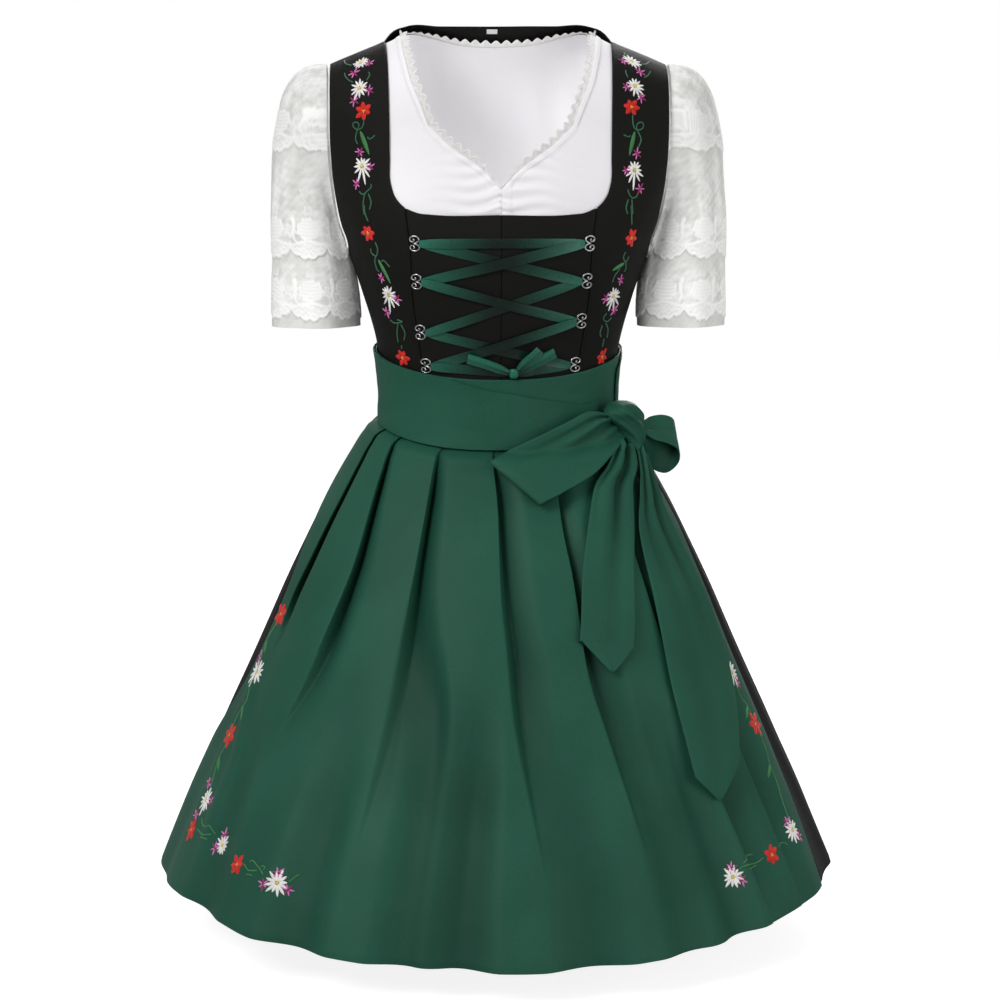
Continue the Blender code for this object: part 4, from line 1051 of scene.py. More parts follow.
# A fold's width grows from a share at the waist, and a pleat's crest opens further from lower down.
FOLD_WIDTH_AT_WAIST = 0.35
FOLD_WIDTH_GROWTH = 1.3
CREST_OPENING = 1.2
CREST_OPENING_START = 0.12
CREST_OPENING_RUN = 0.40
CREST_POINT_SHARE = 0.30
# Pressed pleats soften over this part of the way down.
KEEN_FADE_START = 0.25
KEEN_FADE_RUN = 0.50
# The cloth below a pleat leans aside by an angle that grows towards the left. It does so less lower down, and
# not at all behind.
LEAN_PER_DEGREE = -0.85
LEAN_RANGE = (8.0, 61.0)
TUCK_END_ANGLE = 90
TUCK_ANGLE_RUN = 8
TUCK_FADE = 0.9
TUCK_FADE_START = 0.18
TUCK_FADE_RUN = 0.42
# The depth in a pleat at which its shade is full, and how much of a soft fold's depth counts.
DARKEST_DEPTH = 0.015
SOFT_SHADE_SHARE = 0.7
# The apron's hem is a little lower at the left.
APRON_LEFT_DROP = 0.010
APRON_LEFT_DROP_ANGLE = -60
APRON_LEFT_DROP_RUN = 30
# How much of the skirt's wall is left at its hem.
HEM_WALL_SHARE = 0.4
# Rows of points down the skirt and the apron, closer together at the waist, and drops tucked behind the band.
SKIRT_ROWS = 92
APRON_ROWS = 150
ROW_SPACING = 1.25
SKIRT_TUCKED = (-WAIST_SEAM_ABOVE_BAND_BOTTOM, -0.018, -0.006)
APRON_TUCKED = (-APRON_TUCK, -0.004)
# Columns of points a degree.
SKIRT_FRONT_DENSITY = 0.72
SKIRT_BACK_DENSITY = 0.95
APRON_DENSITY = 1.45


def fold_width(way):
    return FOLD_WIDTH_AT_WAIST + FOLD_WIDTH_GROWTH * way


def crest_width(left, fade, end, way):
    """The width of a fold's steep left side, which opens lower down. The fold runs out in a narrow point."""
    opening = fold_width(way) + CREST_OPENING * ease((way - CREST_OPENING_START) / CREST_OPENING_RUN)
    ending = ease((end - way) / (end - fade))
    return left * opening * (CREST_POINT_SHARE + (1 - CREST_POINT_SHARE) * ending)


def folds_depth(folds, keenness, angle, way, reach):
    """How far folds take the cloth in at an angle, a share of the way down and a distance from the axis.

    The keenness is 1 for pressed pleats, which soften as they go down, and 0 for soft folds.
    """
    total = np.zeros(np.broadcast(angle, way).shape)
    keen = keenness * (1 - ease((way - KEEN_FADE_START) / KEEN_FADE_RUN))
    for depth, start, full, fade, end, left, right, path in folds:
        away = np.radians((angle - path_angle(path, way) + 180) % 360 - 180) * reach
        ending = ease((end - way) / (end - fade))
        width = np.where(away < 0, crest_width(left, fade, end, way), right * fold_width(way))
        share = np.abs(away) / width
        grown = ease((way - start) / (full - start)) * ending
        inside = np.clip(1 - share, 0, 1)
        sharp = np.where(away < 0, inside, inside**1.8)
        soft = np.clip(1 - share**2, 0, 1) ** 2
        total += depth * grown * (sharp * keen + soft * (1 - keen))
    return total


def fold_in(angle, way, reach):
    """How far the cloth is folded inward, and how far it is tucked aside below the pleat on its left."""
    tucked = folds_depth(KNIFE_PLEATS, 1, angle, way, reach)
    inward = tucked + folds_depth(SOFT_FOLDS, 0, angle, way, reach)
    inward = inward + folds_depth(BACK_PLEATS, 1, angle, way, reach)
    turn = np.radians(angle)
    for waves, twist, phase, height in SWELLS:
        inward = inward + height * way * np.sin(waves * turn + twist * way * 2 + phase)
    lean = np.tan(np.radians(np.clip(LEAN_PER_DEGREE * angle, *LEAN_RANGE)))
    in_front = ease((TUCK_END_ANGLE - np.abs(angle)) / TUCK_ANGLE_RUN)
    tuck_now = in_front * (1 - TUCK_FADE * ease((way - TUCK_FADE_START) / TUCK_FADE_RUN))
    return inward, tucked * lean * tuck_now


def fold_shade(angle, drop):
    """How deep in a pleat the cloth lies, from 0 to 1."""
    way, half_width, depth, _ = skirt_section(angle, drop)
    reach = np.hypot(half_width * np.sin(np.radians(angle)), depth * np.cos(np.radians(angle)))
    tucked = folds_depth(KNIFE_PLEATS, 1, angle, way, reach)
    tucked = tucked + SOFT_SHADE_SHARE * folds_depth(SOFT_FOLDS, 0, angle, way, reach)
    return np.clip(tucked / DARKEST_DEPTH, 0, 1)


def fold_marks(folds, ways):
    """Lines of column angles along the crest and the bottom of each fold."""
    marks = []
    for _, _, _, fade, end, left, _, path in folds:
        bottom = path_angle(path, ways)
        point = skirt(bottom, hem_drop(bottom) * ways, 0.0, folded=False)
        reach = np.hypot(point[..., 0], point[..., 1])
        marks += [bottom - np.degrees(crest_width(left, fade, end, ways) / reach), bottom]
    return marks


def columns_through(marks, density):
    """Column angles through lines of marks, one row for each way down, closer together near each mark."""
    columns = [marks[0]]
    for before, after in zip(marks, marks[1:]):
        pieces = max(5, round(float(np.max(after - before)) * density))
        share = np.arange(1, pieces + 1) / pieces
        share = share - PLEAT_CLUSTER * np.sin(2 * math.pi * share) / (2 * math.pi)
        columns += [before + (after - before) * part for part in share]
    return np.array(columns).T


def skirt_ways(rows):
    return np.linspace(0, 1, rows) ** ROW_SPACING


def with_tuck(angles, drops, tucked):
    """Grids of angles and drops, with rows added above them that are tucked behind the waistband."""
    above = np.array(tucked)[:, None]
    angles = np.concatenate([np.repeat(angles[:1], len(above), axis=0), angles])
    drops = np.concatenate([np.broadcast_to(above, (len(above), drops.shape[1])), drops])
    return angles, drops


def build_skirt():
    ways = skirt_ways(SKIRT_ROWS)
    left, right, round_left = (np.full_like(ways, angle) for angle in (-90.0, 90.0, 270.0))
    halves = (
        # piece, marks, density, side
        ("skirt_front", [left, right], SKIRT_FRONT_DENSITY, FRONT),
        ("skirt_back", [right, *fold_marks(BACK_PLEATS, ways), round_left], SKIRT_BACK_DENSITY, BACK),
    )
    for name, marks, density, side in halves:
        angles = columns_through(marks, density)
        angles, drops = with_tuck(angles, hem_drop(angles) * ways[:, None], SKIRT_TUCKED)
        inner, outer = (skirt(angles, drops, lift, beneath=side == FRONT) for lift in (0.0, SKIRT_WALL))
        outer[-1] = inner[-1] + (outer[-1] - inner[-1]) * HEM_WALL_SHARE
        for grid in (inner, outer):
            grid[:, [0, -1], 1] = 0.0
        add_wall(name, inner, outer, "black_skirt", fold_shade(angles, drops))


def build_apron():
    ways = skirt_ways(APRON_ROWS)
    edges = [path_angle(APRON_EDGES[name], ways) for name in ("left", "right")]
    angles = columns_through([edges[0], *fold_marks(KNIFE_PLEATS, ways), edges[1]], APRON_DENSITY)
    hem = hem_drop(angles, APRON_HEM, APRON_HEM_FRONT_DROP)
    hem = hem + APRON_LEFT_DROP * ease((APRON_LEFT_DROP_ANGLE - angles) / APRON_LEFT_DROP_RUN)
    angles, drops = with_tuck(angles, hem * ways[:, None], APRON_TUCKED)
    lift = SKIRT_WALL + APRON_LIFT
    near, far = (skirt(angles, drops, out) for out in (lift, rounded(lift, lift + APRON_WALL, angles.shape)))
    add_wall("apron_skirt", near, far, "green_satin", fold_shade(angles, drops))


# ---------------------------------------------------------------- waistband and ties


BAND_STEP = 1.4
BAND_ROWS = 22
METRES_PER_DEGREE = 0.0021
# The band's surface: a shallow hollow along it, and slack creases of this height and scale, mostly level.
BAND_HOLLOW = 0.0004
BAND_SLACK = 0.00045
BAND_SLACK_SCALE = 16.0
BAND_SLACK_STRETCH = (1.0, 1.0, 2.2)
BAND_EDGE_SHARE = 0.15


def belt_grid(stations):
    """Angles, heights, shares of the height and lifts of a band through stations, as arrays of points."""
    table = np.array(sorted(stations))
    start, end = table[0, 0], table[-1, 0]
    angles = start + (end - start) * edged(int((end - start) / BAND_STEP), (end - start) * METRES_PER_DEGREE)
    share = edged(BAND_ROWS, BAND_HEIGHT)[:, None]
    low, high, near, far = (np.interp(angles, table[:, 0], table[:, column]) for column in range(1, 5))
    heights = band_bottom(angles) + BAND_HEIGHT * (low + (high - low) * share)
    return np.broadcast_to(angles, heights.shape), heights, share, near, far


def build_band(name, stations, seed):
    """A stiffened band with a soft uneven surface."""
    angles, heights, share, near, far = belt_grid(stations)
    points = belt(angles, heights, 0.0)
    slack = BAND_SLACK * soft_noise(points * np.array(BAND_SLACK_STRETCH), BAND_SLACK_SCALE, seed)
    slack = slack * ease(share / BAND_EDGE_SHARE) * ease((1 - share) / BAND_EDGE_SHARE)
    relief = slack - BAND_HOLLOW * np.sin(math.pi * share)
    near = near + relief
    far = rounded(near, far + relief, heights.shape)
    add_wall(name, belt(angles, heights, near), belt(angles, heights, far), "green_satin")


def build_bands():
    band = [(angle, 0.0, 1.0, *WAISTBAND_LAYER) for angle in (-BAND_HALF_ANGLE, BAND_HALF_ANGLE)]
    for seed, (name, stations) in enumerate({"apron_waistband": band, **TIES}.items()):
        build_band(name, stations, seed)


# ---------------------------------------------------------------- blouse and bodice panels


def torso_grid(levels, inner_edge, outer_edge, shares, side, hand, back_neck=None):
    """A panel's points, row by row, from an inner edge to the side seam and the armhole.

    Below its straight levels a panel's rows bend to the waist seam, whose height changes round the body.
    """
    rows = []
    for level in levels:
        half_width = figure_half_width(level)
        start, end = edge_angle(inner_edge(level), half_width), edge_angle(outer_edge(level), half_width)
        angles = start + (end - start) * shares
        heights = np.full(len(shares), level)
        if level < LOWEST_STRAIGHT_LEVEL:
            turns = np.degrees(angles) if side == FRONT else 180 - np.degrees(angles)
            way = (level - SEAM_LEVEL) / (LOWEST_STRAIGHT_LEVEL - SEAM_LEVEL)
            heights = waist_seam(turns) * (1 - way) + LOWEST_STRAIGHT_LEVEL * way
            half_width = figure_half_width(heights)
        x = hand * half_width * power_of(np.sin(angles), 2 / FIGURE_SQUARENESS)
        rows.append(torso(x, heights, side, back_neck))
    grid = np.array(rows)
    seam = np.abs(grid[..., 1]) < SEAM_REACH
    grid[..., 1] = np.where(seam, 0.0, grid[..., 1])
    return grid


# The binding stitched round the blouse's neck, and the groove of its stitching.
BINDING_WIDTH = 0.0056
BINDING_LIFT = 0.0008
GROOVE_DEPTH = 0.0004
# A tape sewn over the gathers at the centre front, as distances from the middle, and its lift.
TAPE_SPAN = (0.0012, 0.0110)
TAPE_LIFT = 0.0008
# Ruching runs out sideways from the gathered centre front: waves that fan out from a level.
GATHER_LEVEL = -0.150
GATHER_FAN = 5.0
FINE_GATHERS = {"pitch": 0.0062, "depth": 0.0009, "reach": 0.008}
BROAD_GATHERS = {"pitch": 0.0155, "depth": 0.0011, "reach": 0.034, "from": 0.012}
BLOUSE_RELIEF_RANGE = (-0.0012, 0.0016)
BLOUSE_RELIEF_LIFT = 0.0002
BLOUSE_BACK_DRAPE = 0.0009
BLOUSE_BACK_SINK = 0.0008
# A bodice panel's corded welt and stitched groove beside a seam, as (height, distance from the seam, width).
PRINCESS_WELT = ((0.0007, 0.0014, 0.0009), (-0.0004, 0.0030, 0.0006))
DART_WELT = ((0.0013, 0.0018, 0.0012), (-0.0008, 0.0, 0.0009))
# The darts of the bodice's back, as distances from the middle and levels of their ends.
DART_DISTANCES = (0.058, 0.088)
DART_LEVELS = (-0.345, -0.13)
# Rows of points up each panel, in stretches of (first level, last level, rows).
BLOUSE_FRONT_ROWS = (
    (BLOUSE_HEM, -0.160, 12), (-0.1585, -0.124, 26), (-0.1225, -0.1225, 1),
    (-0.1215, -0.030, 62), (-0.028, 0.0, 16))
BLOUSE_BACK_ROWS = ((BLOUSE_HEM, -0.03, 56), (-0.027, 0.0, 10))
BODICE_FRONT_ROWS = ((SEAM_LEVEL, -0.142, 74), (-0.1400, -0.105, 18), (-0.102, -0.012, 36), (-0.010, 0.0, 6))
BODICE_BACK_ROWS = ((SEAM_LEVEL, -0.04, 62), (-0.036, 0.0, 20))
# Columns of points across each panel, and lengths that place the lines of points close to its edges.
BLOUSE_FRONT_COLUMNS = 48
BLOUSE_BACK_COLUMNS = 44
CENTRE_FRONT_GRID = (96, 40)
SIDE_FRONT_COLUMNS = 32
BODICE_BACK_COLUMNS = 50
BLOUSE_FRONT_WIDTH = 0.16
BACK_WIDTH = 0.17
CENTRE_FRONT_SIZE = (0.21, 0.085)
SIDE_FRONT_WIDTH = 0.06
NECK_MARGINS = (0.0007, 0.0018, 0.0034, 0.0045, 0.0052, 0.0058, 0.0066)


def levels_in(stretches):
    return np.concatenate([np.linspace(*stretch) for stretch in stretches])


def waist_seam(turns):
    return band_bottom(turns) + WAIST_SEAM_ABOVE_BAND_BOTTOM + WAIST_SEAM_GAP


def blouse_inner_edge(level):
    if level < BLOUSE_NECKLINE[0, 0]:
        return 0.0
    return smooth(BLOUSE_NECKLINE, 1, level)


def back_grid(levels, outer_edge, back_neck, shares):
    """A back panel's points, from one side to the other."""
    right = torso_grid(levels, lambda level: 0.0, outer_edge, shares, BACK, 1, back_neck)
    left = right[:, :0:-1] * np.array([-1.0, 1.0, 1.0])
    return np.concatenate([left, right], axis=1)


def gathers(points, hand):
    """The relief of the ruching, which softens as it runs out from the centre front."""
    x, z = np.abs(points[..., 0]), points[..., 2]
    fan = (z - GATHER_LEVEL) * (1 + GATHER_FAN * x) + 0.0035 * np.sin(x * 90 + hand)
    fine = np.sin(2 * math.pi * fan / FINE_GATHERS["pitch"] + hand) * np.exp(-x / FINE_GATHERS["reach"])
    broad = np.sin(2 * math.pi * fan / BROAD_GATHERS["pitch"] + 1.7 * hand)
    broad = broad * np.exp(-((x - BROAD_GATHERS["from"]) / BROAD_GATHERS["reach"]) ** 2)
    region = ease((z + 0.175) / 0.02) * ease((-0.098 - z + 1.1 * x) / 0.02)
    return (FINE_GATHERS["depth"] * fine + BROAD_GATHERS["depth"] * broad) * region


def binding(edge):
    """The relief of a binding and of the groove beside it, at distances from the neck's edge."""
    lift = BINDING_LIFT * (1 - ease((edge - BINDING_WIDTH + 0.001) / 0.001))
    return lift - GROOVE_DEPTH * np.exp(-((edge - BINDING_WIDTH - 0.0004) / 0.0007) ** 2)


def tape(x):
    return TAPE_LIFT * ease((x - TAPE_SPAN[0]) / 0.0008) * ease((TAPE_SPAN[1] - x) / 0.0008)


def build_blouse_fronts():
    levels = levels_in(BLOUSE_FRONT_ROWS)
    neck_levels = np.linspace(BLOUSE_NECKLINE[0, 0], 0.0, 90)
    neckline = np.array([torso(smooth(BLOUSE_NECKLINE, 1, level), level, FRONT) for level in neck_levels])
    shares = edged(BLOUSE_FRONT_COLUMNS, BLOUSE_FRONT_WIDTH, NECK_MARGINS)
    for name, hand in SIDES.items():
        grid = torso_grid(levels, blouse_inner_edge, side_edge, shares, FRONT, hand)
        relief = gathers(grid, hand) + 0.0006 * soft_noise(grid, 9.0, 3 + hand)
        relief = relief + binding(distance_to(grid, neckline * np.array([hand, 1.0, 1.0])))
        if name == "right":
            relief = relief + tape(grid[..., 0])
        relief = np.clip(relief, *BLOUSE_RELIEF_RANGE) + BLOUSE_RELIEF_LIFT
        lifted_wall(f"blouse_front_{name}", grid, BLOUSE_LAYER, "white_cotton", relief)


def build_blouse_back():
    shares = edged(BLOUSE_BACK_COLUMNS, BACK_WIDTH)
    grid = back_grid(levels_in(BLOUSE_BACK_ROWS), side_edge, BLOUSE_BACK_NECK, shares)
    x, z = grid[..., 0], grid[..., 2]
    drape = np.sin(x * 150 + 3 * np.sin(z * 14)) + 0.8 * np.sin(x * 83 - z * 9 + 2)
    drape = drape * ease((0.11 - np.abs(x)) / 0.04) * ease(-z / 0.04)
    relief = BLOUSE_BACK_DRAPE * drape - BLOUSE_BACK_SINK
    lifted_wall("blouse_back", grid, BLOUSE_LAYER, "white_cotton", relief)


def side_front_inner_edge(level):
    if level <= PRINCESS_SEAM[-1, 0]:
        return smooth(PRINCESS_SEAM, 1, level)
    return smooth(BODICE_NECKLINE, 1, level)


def centre_front_grid(hand, ways, shares):
    """Columns run from the front closure to the princess seam, rows from the waist seam to the neckline."""
    columns = []
    for share in shares:
        top = smooth(BODICE_TOP, 1, share * BODICE_TOP[-1, 0])
        distance = share * smooth(PRINCESS_SEAM, 1, SEAM_LEVEL)
        bottom = waist_seam(np.degrees(edge_angle(distance, figure_half_width(SEAM_LEVEL))))
        height = bottom + ways * (top - bottom)
        x = share * smooth(PRINCESS_SEAM, 1, height)
        columns.append(torso(hand * x, height, FRONT))
    return np.array(columns).transpose(1, 0, 2)


def welt_relief(points, seam, welt):
    """The relief of a welt and its groove beside a seam."""
    away = distance_to(points, seam)
    return sum(height * np.exp(-((away - distance) / width) ** 2) for height, distance, width in welt)


def build_bodice_panel(piece, grid, seam, seed):
    """A front panel, with a corded welt beside the princess seam and a little pull in its cloth."""
    relief = welt_relief(grid, seam, PRINCESS_WELT) + 0.00025 * soft_noise(grid, 22.0, seed)
    lifted_wall(piece, grid, BODICE_LAYER, "black_twill", relief)


def build_bodice_fronts():
    seam_heights = np.linspace(-0.36, PRINCESS_SEAM[-1, 0], 110)
    levels = levels_in(BODICE_FRONT_ROWS)
    ways, across = (edged(count, length) for count, length in zip(CENTRE_FRONT_GRID, CENTRE_FRONT_SIZE))
    shares = edged(SIDE_FRONT_COLUMNS, SIDE_FRONT_WIDTH)
    for name, hand in SIDES.items():
        seam = torso(hand * smooth(PRINCESS_SEAM, 1, seam_heights), seam_heights, FRONT)
        grid = centre_front_grid(hand, ways, across)
        build_bodice_panel(f"bodice_centre_front_{name}", grid, seam, 11 + hand)
        grid = torso_grid(levels, side_front_inner_edge, bodice_side_edge, shares, FRONT, hand)
        build_bodice_panel(f"bodice_side_front_{name}", grid, seam, 21 + hand)


def build_bodice_back():
    shares = edged(BODICE_BACK_COLUMNS, BACK_WIDTH)
    grid = back_grid(levels_in(BODICE_BACK_ROWS), bodice_side_edge, BODICE_BACK_NECK, shares)
    relief = 0.0003 * soft_noise(grid, 14.0, 5)
    for hand in SIDES.values():
        dart = torso(hand * np.linspace(*DART_DISTANCES, 60), np.linspace(*DART_LEVELS, 60), BACK)
        relief = relief + welt_relief(grid, dart, DART_WELT)
    lifted_wall("bodice_back", grid, BODICE_LAYER, "black_twill", relief)
    spread = np.linspace(*LABEL_SPAN, 14)
    rows = [torso(spread, level, BACK, BODICE_BACK_NECK) for level in np.linspace(*LABEL_LEVELS, 8)]
    lifted_wall("neck_label", np.array(rows), LABEL_LAYER, "white_label")


def over_bodice(x, height, lift):
    """Points at a lift over the front of the figure, along its normal."""
    x = np.asarray(x, float)
    height = np.asarray(height, float)
    step = 0.001
    point = torso(x, height, FRONT)
    normal = np.cross(torso(x + step, height, FRONT) - point, torso(x, height + step, FRONT) - point)
    normal /= np.linalg.norm(normal, axis=-1, keepdims=True)
    return point + normal * np.asarray(lift)[..., None]


# ---------------------------------------------------------------- lace: the sleeves and the neck's edging

SLEEVE_ROWS = 240
SLEEVE_COLUMNS = 296
# How far the lace's thread stands out, how uneven the sleeve is, and how much its cuff waves.
LACE_RELIEF = 0.0005
SLEEVE_EASE = 0.0014
CUFF_WAVE = 0.0022
LACE_REPEATS = 7
LACE_REPEAT_WIDTH = 0.040
# How much further on in the pattern, in repeats, the right sleeve's lace starts.
LACE_RIGHT_START = 0.4
# Each scalloped tier: its lower edge's height, its step out from the net below, and how far up its motifs go.
LACE_TIERS = [
    # height, step, motif_height
    (-0.0870, 0.0007, 0.068),
    (-0.1960, 0.0010, 0.090),
    (-0.2585, 0.0009, 0.056),
]
SCALLOP_DEPTH = 0.0090
LOBE_DEPTH = 0.0026
# Painted shadow just below a tier: the net's thread cover is cut back there, by this share and over this
# distance, so the net shows darker and more open.
NET_SHADOW_SHARE = 0.8
NET_SHADOW_REACH = 0.010
# Thread over the net, over a tier and over its scalloped border, as (least cover, mottling).
NET_COVER = (0.16, 0.26)
TIER_COVER = (0.36, 0.46)
BORDER_COVER = (0.66, 0.20)
# The border's small holes, across and up, and the height and swell of its upper line.
HOLES_PITCH = (0.0051, 0.0057)
HOLES_DEPTH = 0.30
BORDER_HEIGHT = 0.0170
BORDER_SWELL = 0.0020
# Cords along a tier, as (height over the edge, width).
EDGE_CORD = (0.0016, 0.0036)
INNER_CORD = (0.0070, 0.0018)
BORDER_CORD = (0.0172, 0.0024)
BLOSSOM_HEIGHT = 0.0315
# Small flowers in each repeat, measured from its middle, and the one between two repeats.
LACE_FLOWERS = [
    # strength, across, up, radius, petals, turn
    (0.75, 0.0, 0.0500, 0.0052, 4, 0.8),
    (0.60, -0.004, 0.0690, 0.0056, 5, 1.1),
]
BETWEEN_FLOWER = (0.80, LACE_REPEAT_WIDTH / 2, 0.0300, 0.0066, 5, 0.3)
# A winding stem above the blossom.
STEM_SWING = 0.0050
STEM_WAVES = 190
STEM_START = 0.049
STEM_WIDTH = 0.0013
TIER_FADE = 0.006
# The half width and half height of a blossom.
LACE_BLOSSOM = (0.0132, 0.0116)
# A horn's middle line in a repeat, measured from its middle and from the tier's lowest edge, and its width.
LACE_HORN = [
    # across, up, width
    (-0.0080, 0.0165, 0.0014),
    (-0.0150, 0.0200, 0.0022),
    (-0.0172, 0.0270, 0.0030),
    (-0.0160, 0.0350, 0.0040),
    (-0.0178, 0.0420, 0.0050),
]


def stroke(distance, width):
    """Cover of a line of thread at a distance from its middle."""
    return ease((width / 2 - np.abs(distance)) / 0.0010 + 0.5)


def lace_flower(x, height, strength, across, up, radius, petals, turn):
    """Cover of an open flower: an outline of petals, and ribs of thread inside them."""
    reach, angle = np.hypot(x - across, height - up), np.arctan2(height - up, x - across) + turn
    rim = radius * (0.80 + 0.20 * np.cos(petals * angle))
    ribs = 0.72 + 0.28 * np.cos(petals * 4 * angle)
    heart = stroke(reach - radius * 0.26, 0.0014)
    filled = ribs * ease((rim - reach) / 0.001) * 0.85
    return strength * np.maximum(stroke(reach - rim, 0.0018), filled) * (1 - 0.5 * heart)


def lace_blossom(x, up):
    """Cover of a broad blossom: a full fan of satin stitch with a wavy rim and thin gaps that run up it."""
    reach, angle = np.hypot(x / LACE_BLOSSOM[0], up / LACE_BLOSSOM[1]), np.arctan2(up, x)
    rim = 1 + 0.07 * np.cos(9 * angle) + 0.04 * np.cos(14 * angle + 1)
    gaps = 0.76 + 0.24 * np.cos(2 * math.pi * (up + 0.0016 * np.cos(x * 130)) / 0.0036)
    return np.maximum(gaps * ease((rim - reach) / 0.12), 0.95 * stroke(0.012 * (reach - rim + 0.1), 0.0018))


def lace_cover_and_shadow(repeat, z, points):
    """How much thread covers the net, and how far the cloth steps out, round and down the sleeve."""
    cell = np.floor(repeat)
    x = (repeat - cell - 0.5) * LACE_REPEAT_WIDTH
    side = np.abs(x)
    lobe = (2 * side / LACE_REPEAT_WIDTH) ** 2
    small = 1 - np.abs(np.sin(4 * math.pi * (x / LACE_REPEAT_WIDTH + 0.5)))
    mottle = soft_noise(points, 38.0, 5) + 0.7 * soft_noise(points, 160.0, 6)
    cover = NET_COVER[0] + NET_COVER[1] * mottle
    out = np.zeros_like(x)
    horn = through(LACE_HORN, 13)
    swell = BORDER_SWELL * np.cos(2 * math.pi * x / LACE_REPEAT_WIDTH)
    for index, (height, step, top) in reversed(list(enumerate(LACE_TIERS))):
        up = z - height + 0.0008 * np.sin(cell * 2.3 + index)
        edge = up - SCALLOP_DEPTH * lobe - LOBE_DEPTH * small
        shift = x + 0.0010 * np.sin(cell * 1.7 + index)
        holes = np.cos(2 * math.pi * shift / HOLES_PITCH[0]) * np.cos(2 * math.pi * edge / HOLES_PITCH[1])
        filled = BORDER_COVER[0] + BORDER_COVER[1] * mottle + HOLES_DEPTH * holes
        in_border = (edge > 0) & (up < BORDER_HEIGHT + swell)
        tier = np.where(in_border, filled, TIER_COVER[0] + TIER_COVER[1] * mottle)
        stem = stroke(x - STEM_SWING * np.sin(up * STEM_WAVES + cell), STEM_WIDTH)
        lines = [
            stroke(edge - EDGE_CORD[0], EDGE_CORD[1]),
            0.9 * stroke(edge - INNER_CORD[0], INNER_CORD[1]),
            stroke(up - BORDER_CORD[0] - swell, BORDER_CORD[1]),
            lace_blossom(shift, up - BLOSSOM_HEIGHT),
            0.55 * stem * ease((up - STEM_START) / 0.003),
            lace_flower(side, up, *BETWEEN_FLOWER),
            *(lace_flower(shift, up, *flower) for flower in LACE_FLOWERS),
            *(stroke(np.hypot(shift - across, up - rise), width) for across, rise, width in horn),
        ]
        drawn = np.maximum.reduce(lines) * ease((top - up) / TIER_FADE)
        # Painted shadow under the scalloped edge: the net's thread cover is cut back just below each tier.
        painted_shadow = 1 - NET_SHADOW_SHARE * np.exp(np.minimum(edge, 0) / NET_SHADOW_REACH)
        cover = np.where(edge > 0, np.maximum(tier, drawn), cover * painted_shadow)
        out = np.where(edge > 0, 0.0, out - step * ease(-edge / 0.001))
    return np.clip(cover, 0, 1), out


def add_lace(name, grid, material, cover):
    """One layer of lace on a grid of points."""
    add_mesh(name, grid, grid_faces(*grid.shape[:2]), material, cloth_lengths(grid), {"thread_cover_and_shadow": cover})


def armhole_ring(turns):
    """Points round the right armhole, from the shoulder over the front to the underarm and up the back."""
    levels = UNDERARM / 2 * (1 - np.cos(turns))
    distances = smooth(ARMHOLE, 1, levels)
    front, back = torso(distances, levels, FRONT), torso(distances, levels, BACK)
    return np.where((turns <= math.pi)[:, None], front, back)


def sleeve_grid(turns, shares):
    outer = (1 + np.cos(turns)) / 2
    seam = armhole_ring(turns)
    seam[:, 0] += SLEEVE_SEAM_STEP + SLEEVE_UNDERARM_STEP * (1 - outer) ** 2
    seam[:, 2] = np.maximum(seam[:, 2], UNDERARM + SLEEVE_UNDERARM_RISE) + SLEEVE_CAP_RISE * outer**6
    start = seam.copy()
    start[:, 0] += SLEEVE_COLLAR * (0.1 + 0.9 * outer)
    cuff = np.stack([
        CUFF_CENTRE[0] + CUFF_RADIUS_X * np.cos(turns),
        CUFF_CENTRE[1] - CUFF_RADIUS_Y * np.sin(turns),
        np.full(len(turns), CUFF_CENTRE[2]),
    ], axis=1)
    zero = np.zeros(len(turns))
    reach = SLEEVE_UNDERARM_REACH + SLEEVE_CAP_REACH * outer**1.5
    pull = SLEEVE_INNER_PULL + (SLEEVE_OUTER_PULL - SLEEVE_INNER_PULL) * outer
    after_start = start + np.stack([reach, zero, zero], axis=1)
    before_cuff = cuff + np.stack([zero, zero, pull], axis=1)
    rows = [seam]
    for share in shares:
        rest = 1 - share
        row = start * rest**3 + after_start * 3 * share * rest**2
        rows.append(row + before_cuff * 3 * share**2 * rest + cuff * share**3)
    return np.array(rows)


def build_sleeves():
    turns = (math.pi + np.linspace(0, 2 * math.pi, SLEEVE_COLUMNS)) % (2 * math.pi)
    grid = sleeve_grid(turns, np.linspace(0, 1, SLEEVE_ROWS))
    repeat = np.broadcast_to(np.linspace(0, LACE_REPEATS, len(turns)) + 0.35, grid.shape[:2])
    way = np.linspace(0, 1, len(grid))[:, None]
    for name, hand in SIDES.items():
        points = grid * np.array([hand, 1.0, 1.0])
        start = LACE_RIGHT_START if name == "right" else 0.0
        cover, out = lace_cover_and_shadow(repeat + start, points[..., 2], points)
        lift = out + LACE_RELIEF * cover + SLEEVE_EASE * soft_noise(points, 7.0, 31 + hand) * ease(way * 3)
        lift = lift + CUFF_WAVE * way**3 * np.sin(turns * 5 + hand)
        normals = normals_of(points, (hand * CUFF_CENTRE[0], CUFF_CENTRE[1]))
        normals[:, [0, -1]] = (normals[:, [0]] + normals[:, [-1]]) / 2
        add_lace(f"blouse_sleeve_{name}", points + normals * lift[..., None], "sleeve_lace", cover)


PICOT_PITCH = 0.0109
HOLE_PITCH = 0.0030
SMOOTHING_ROUNDS = 6


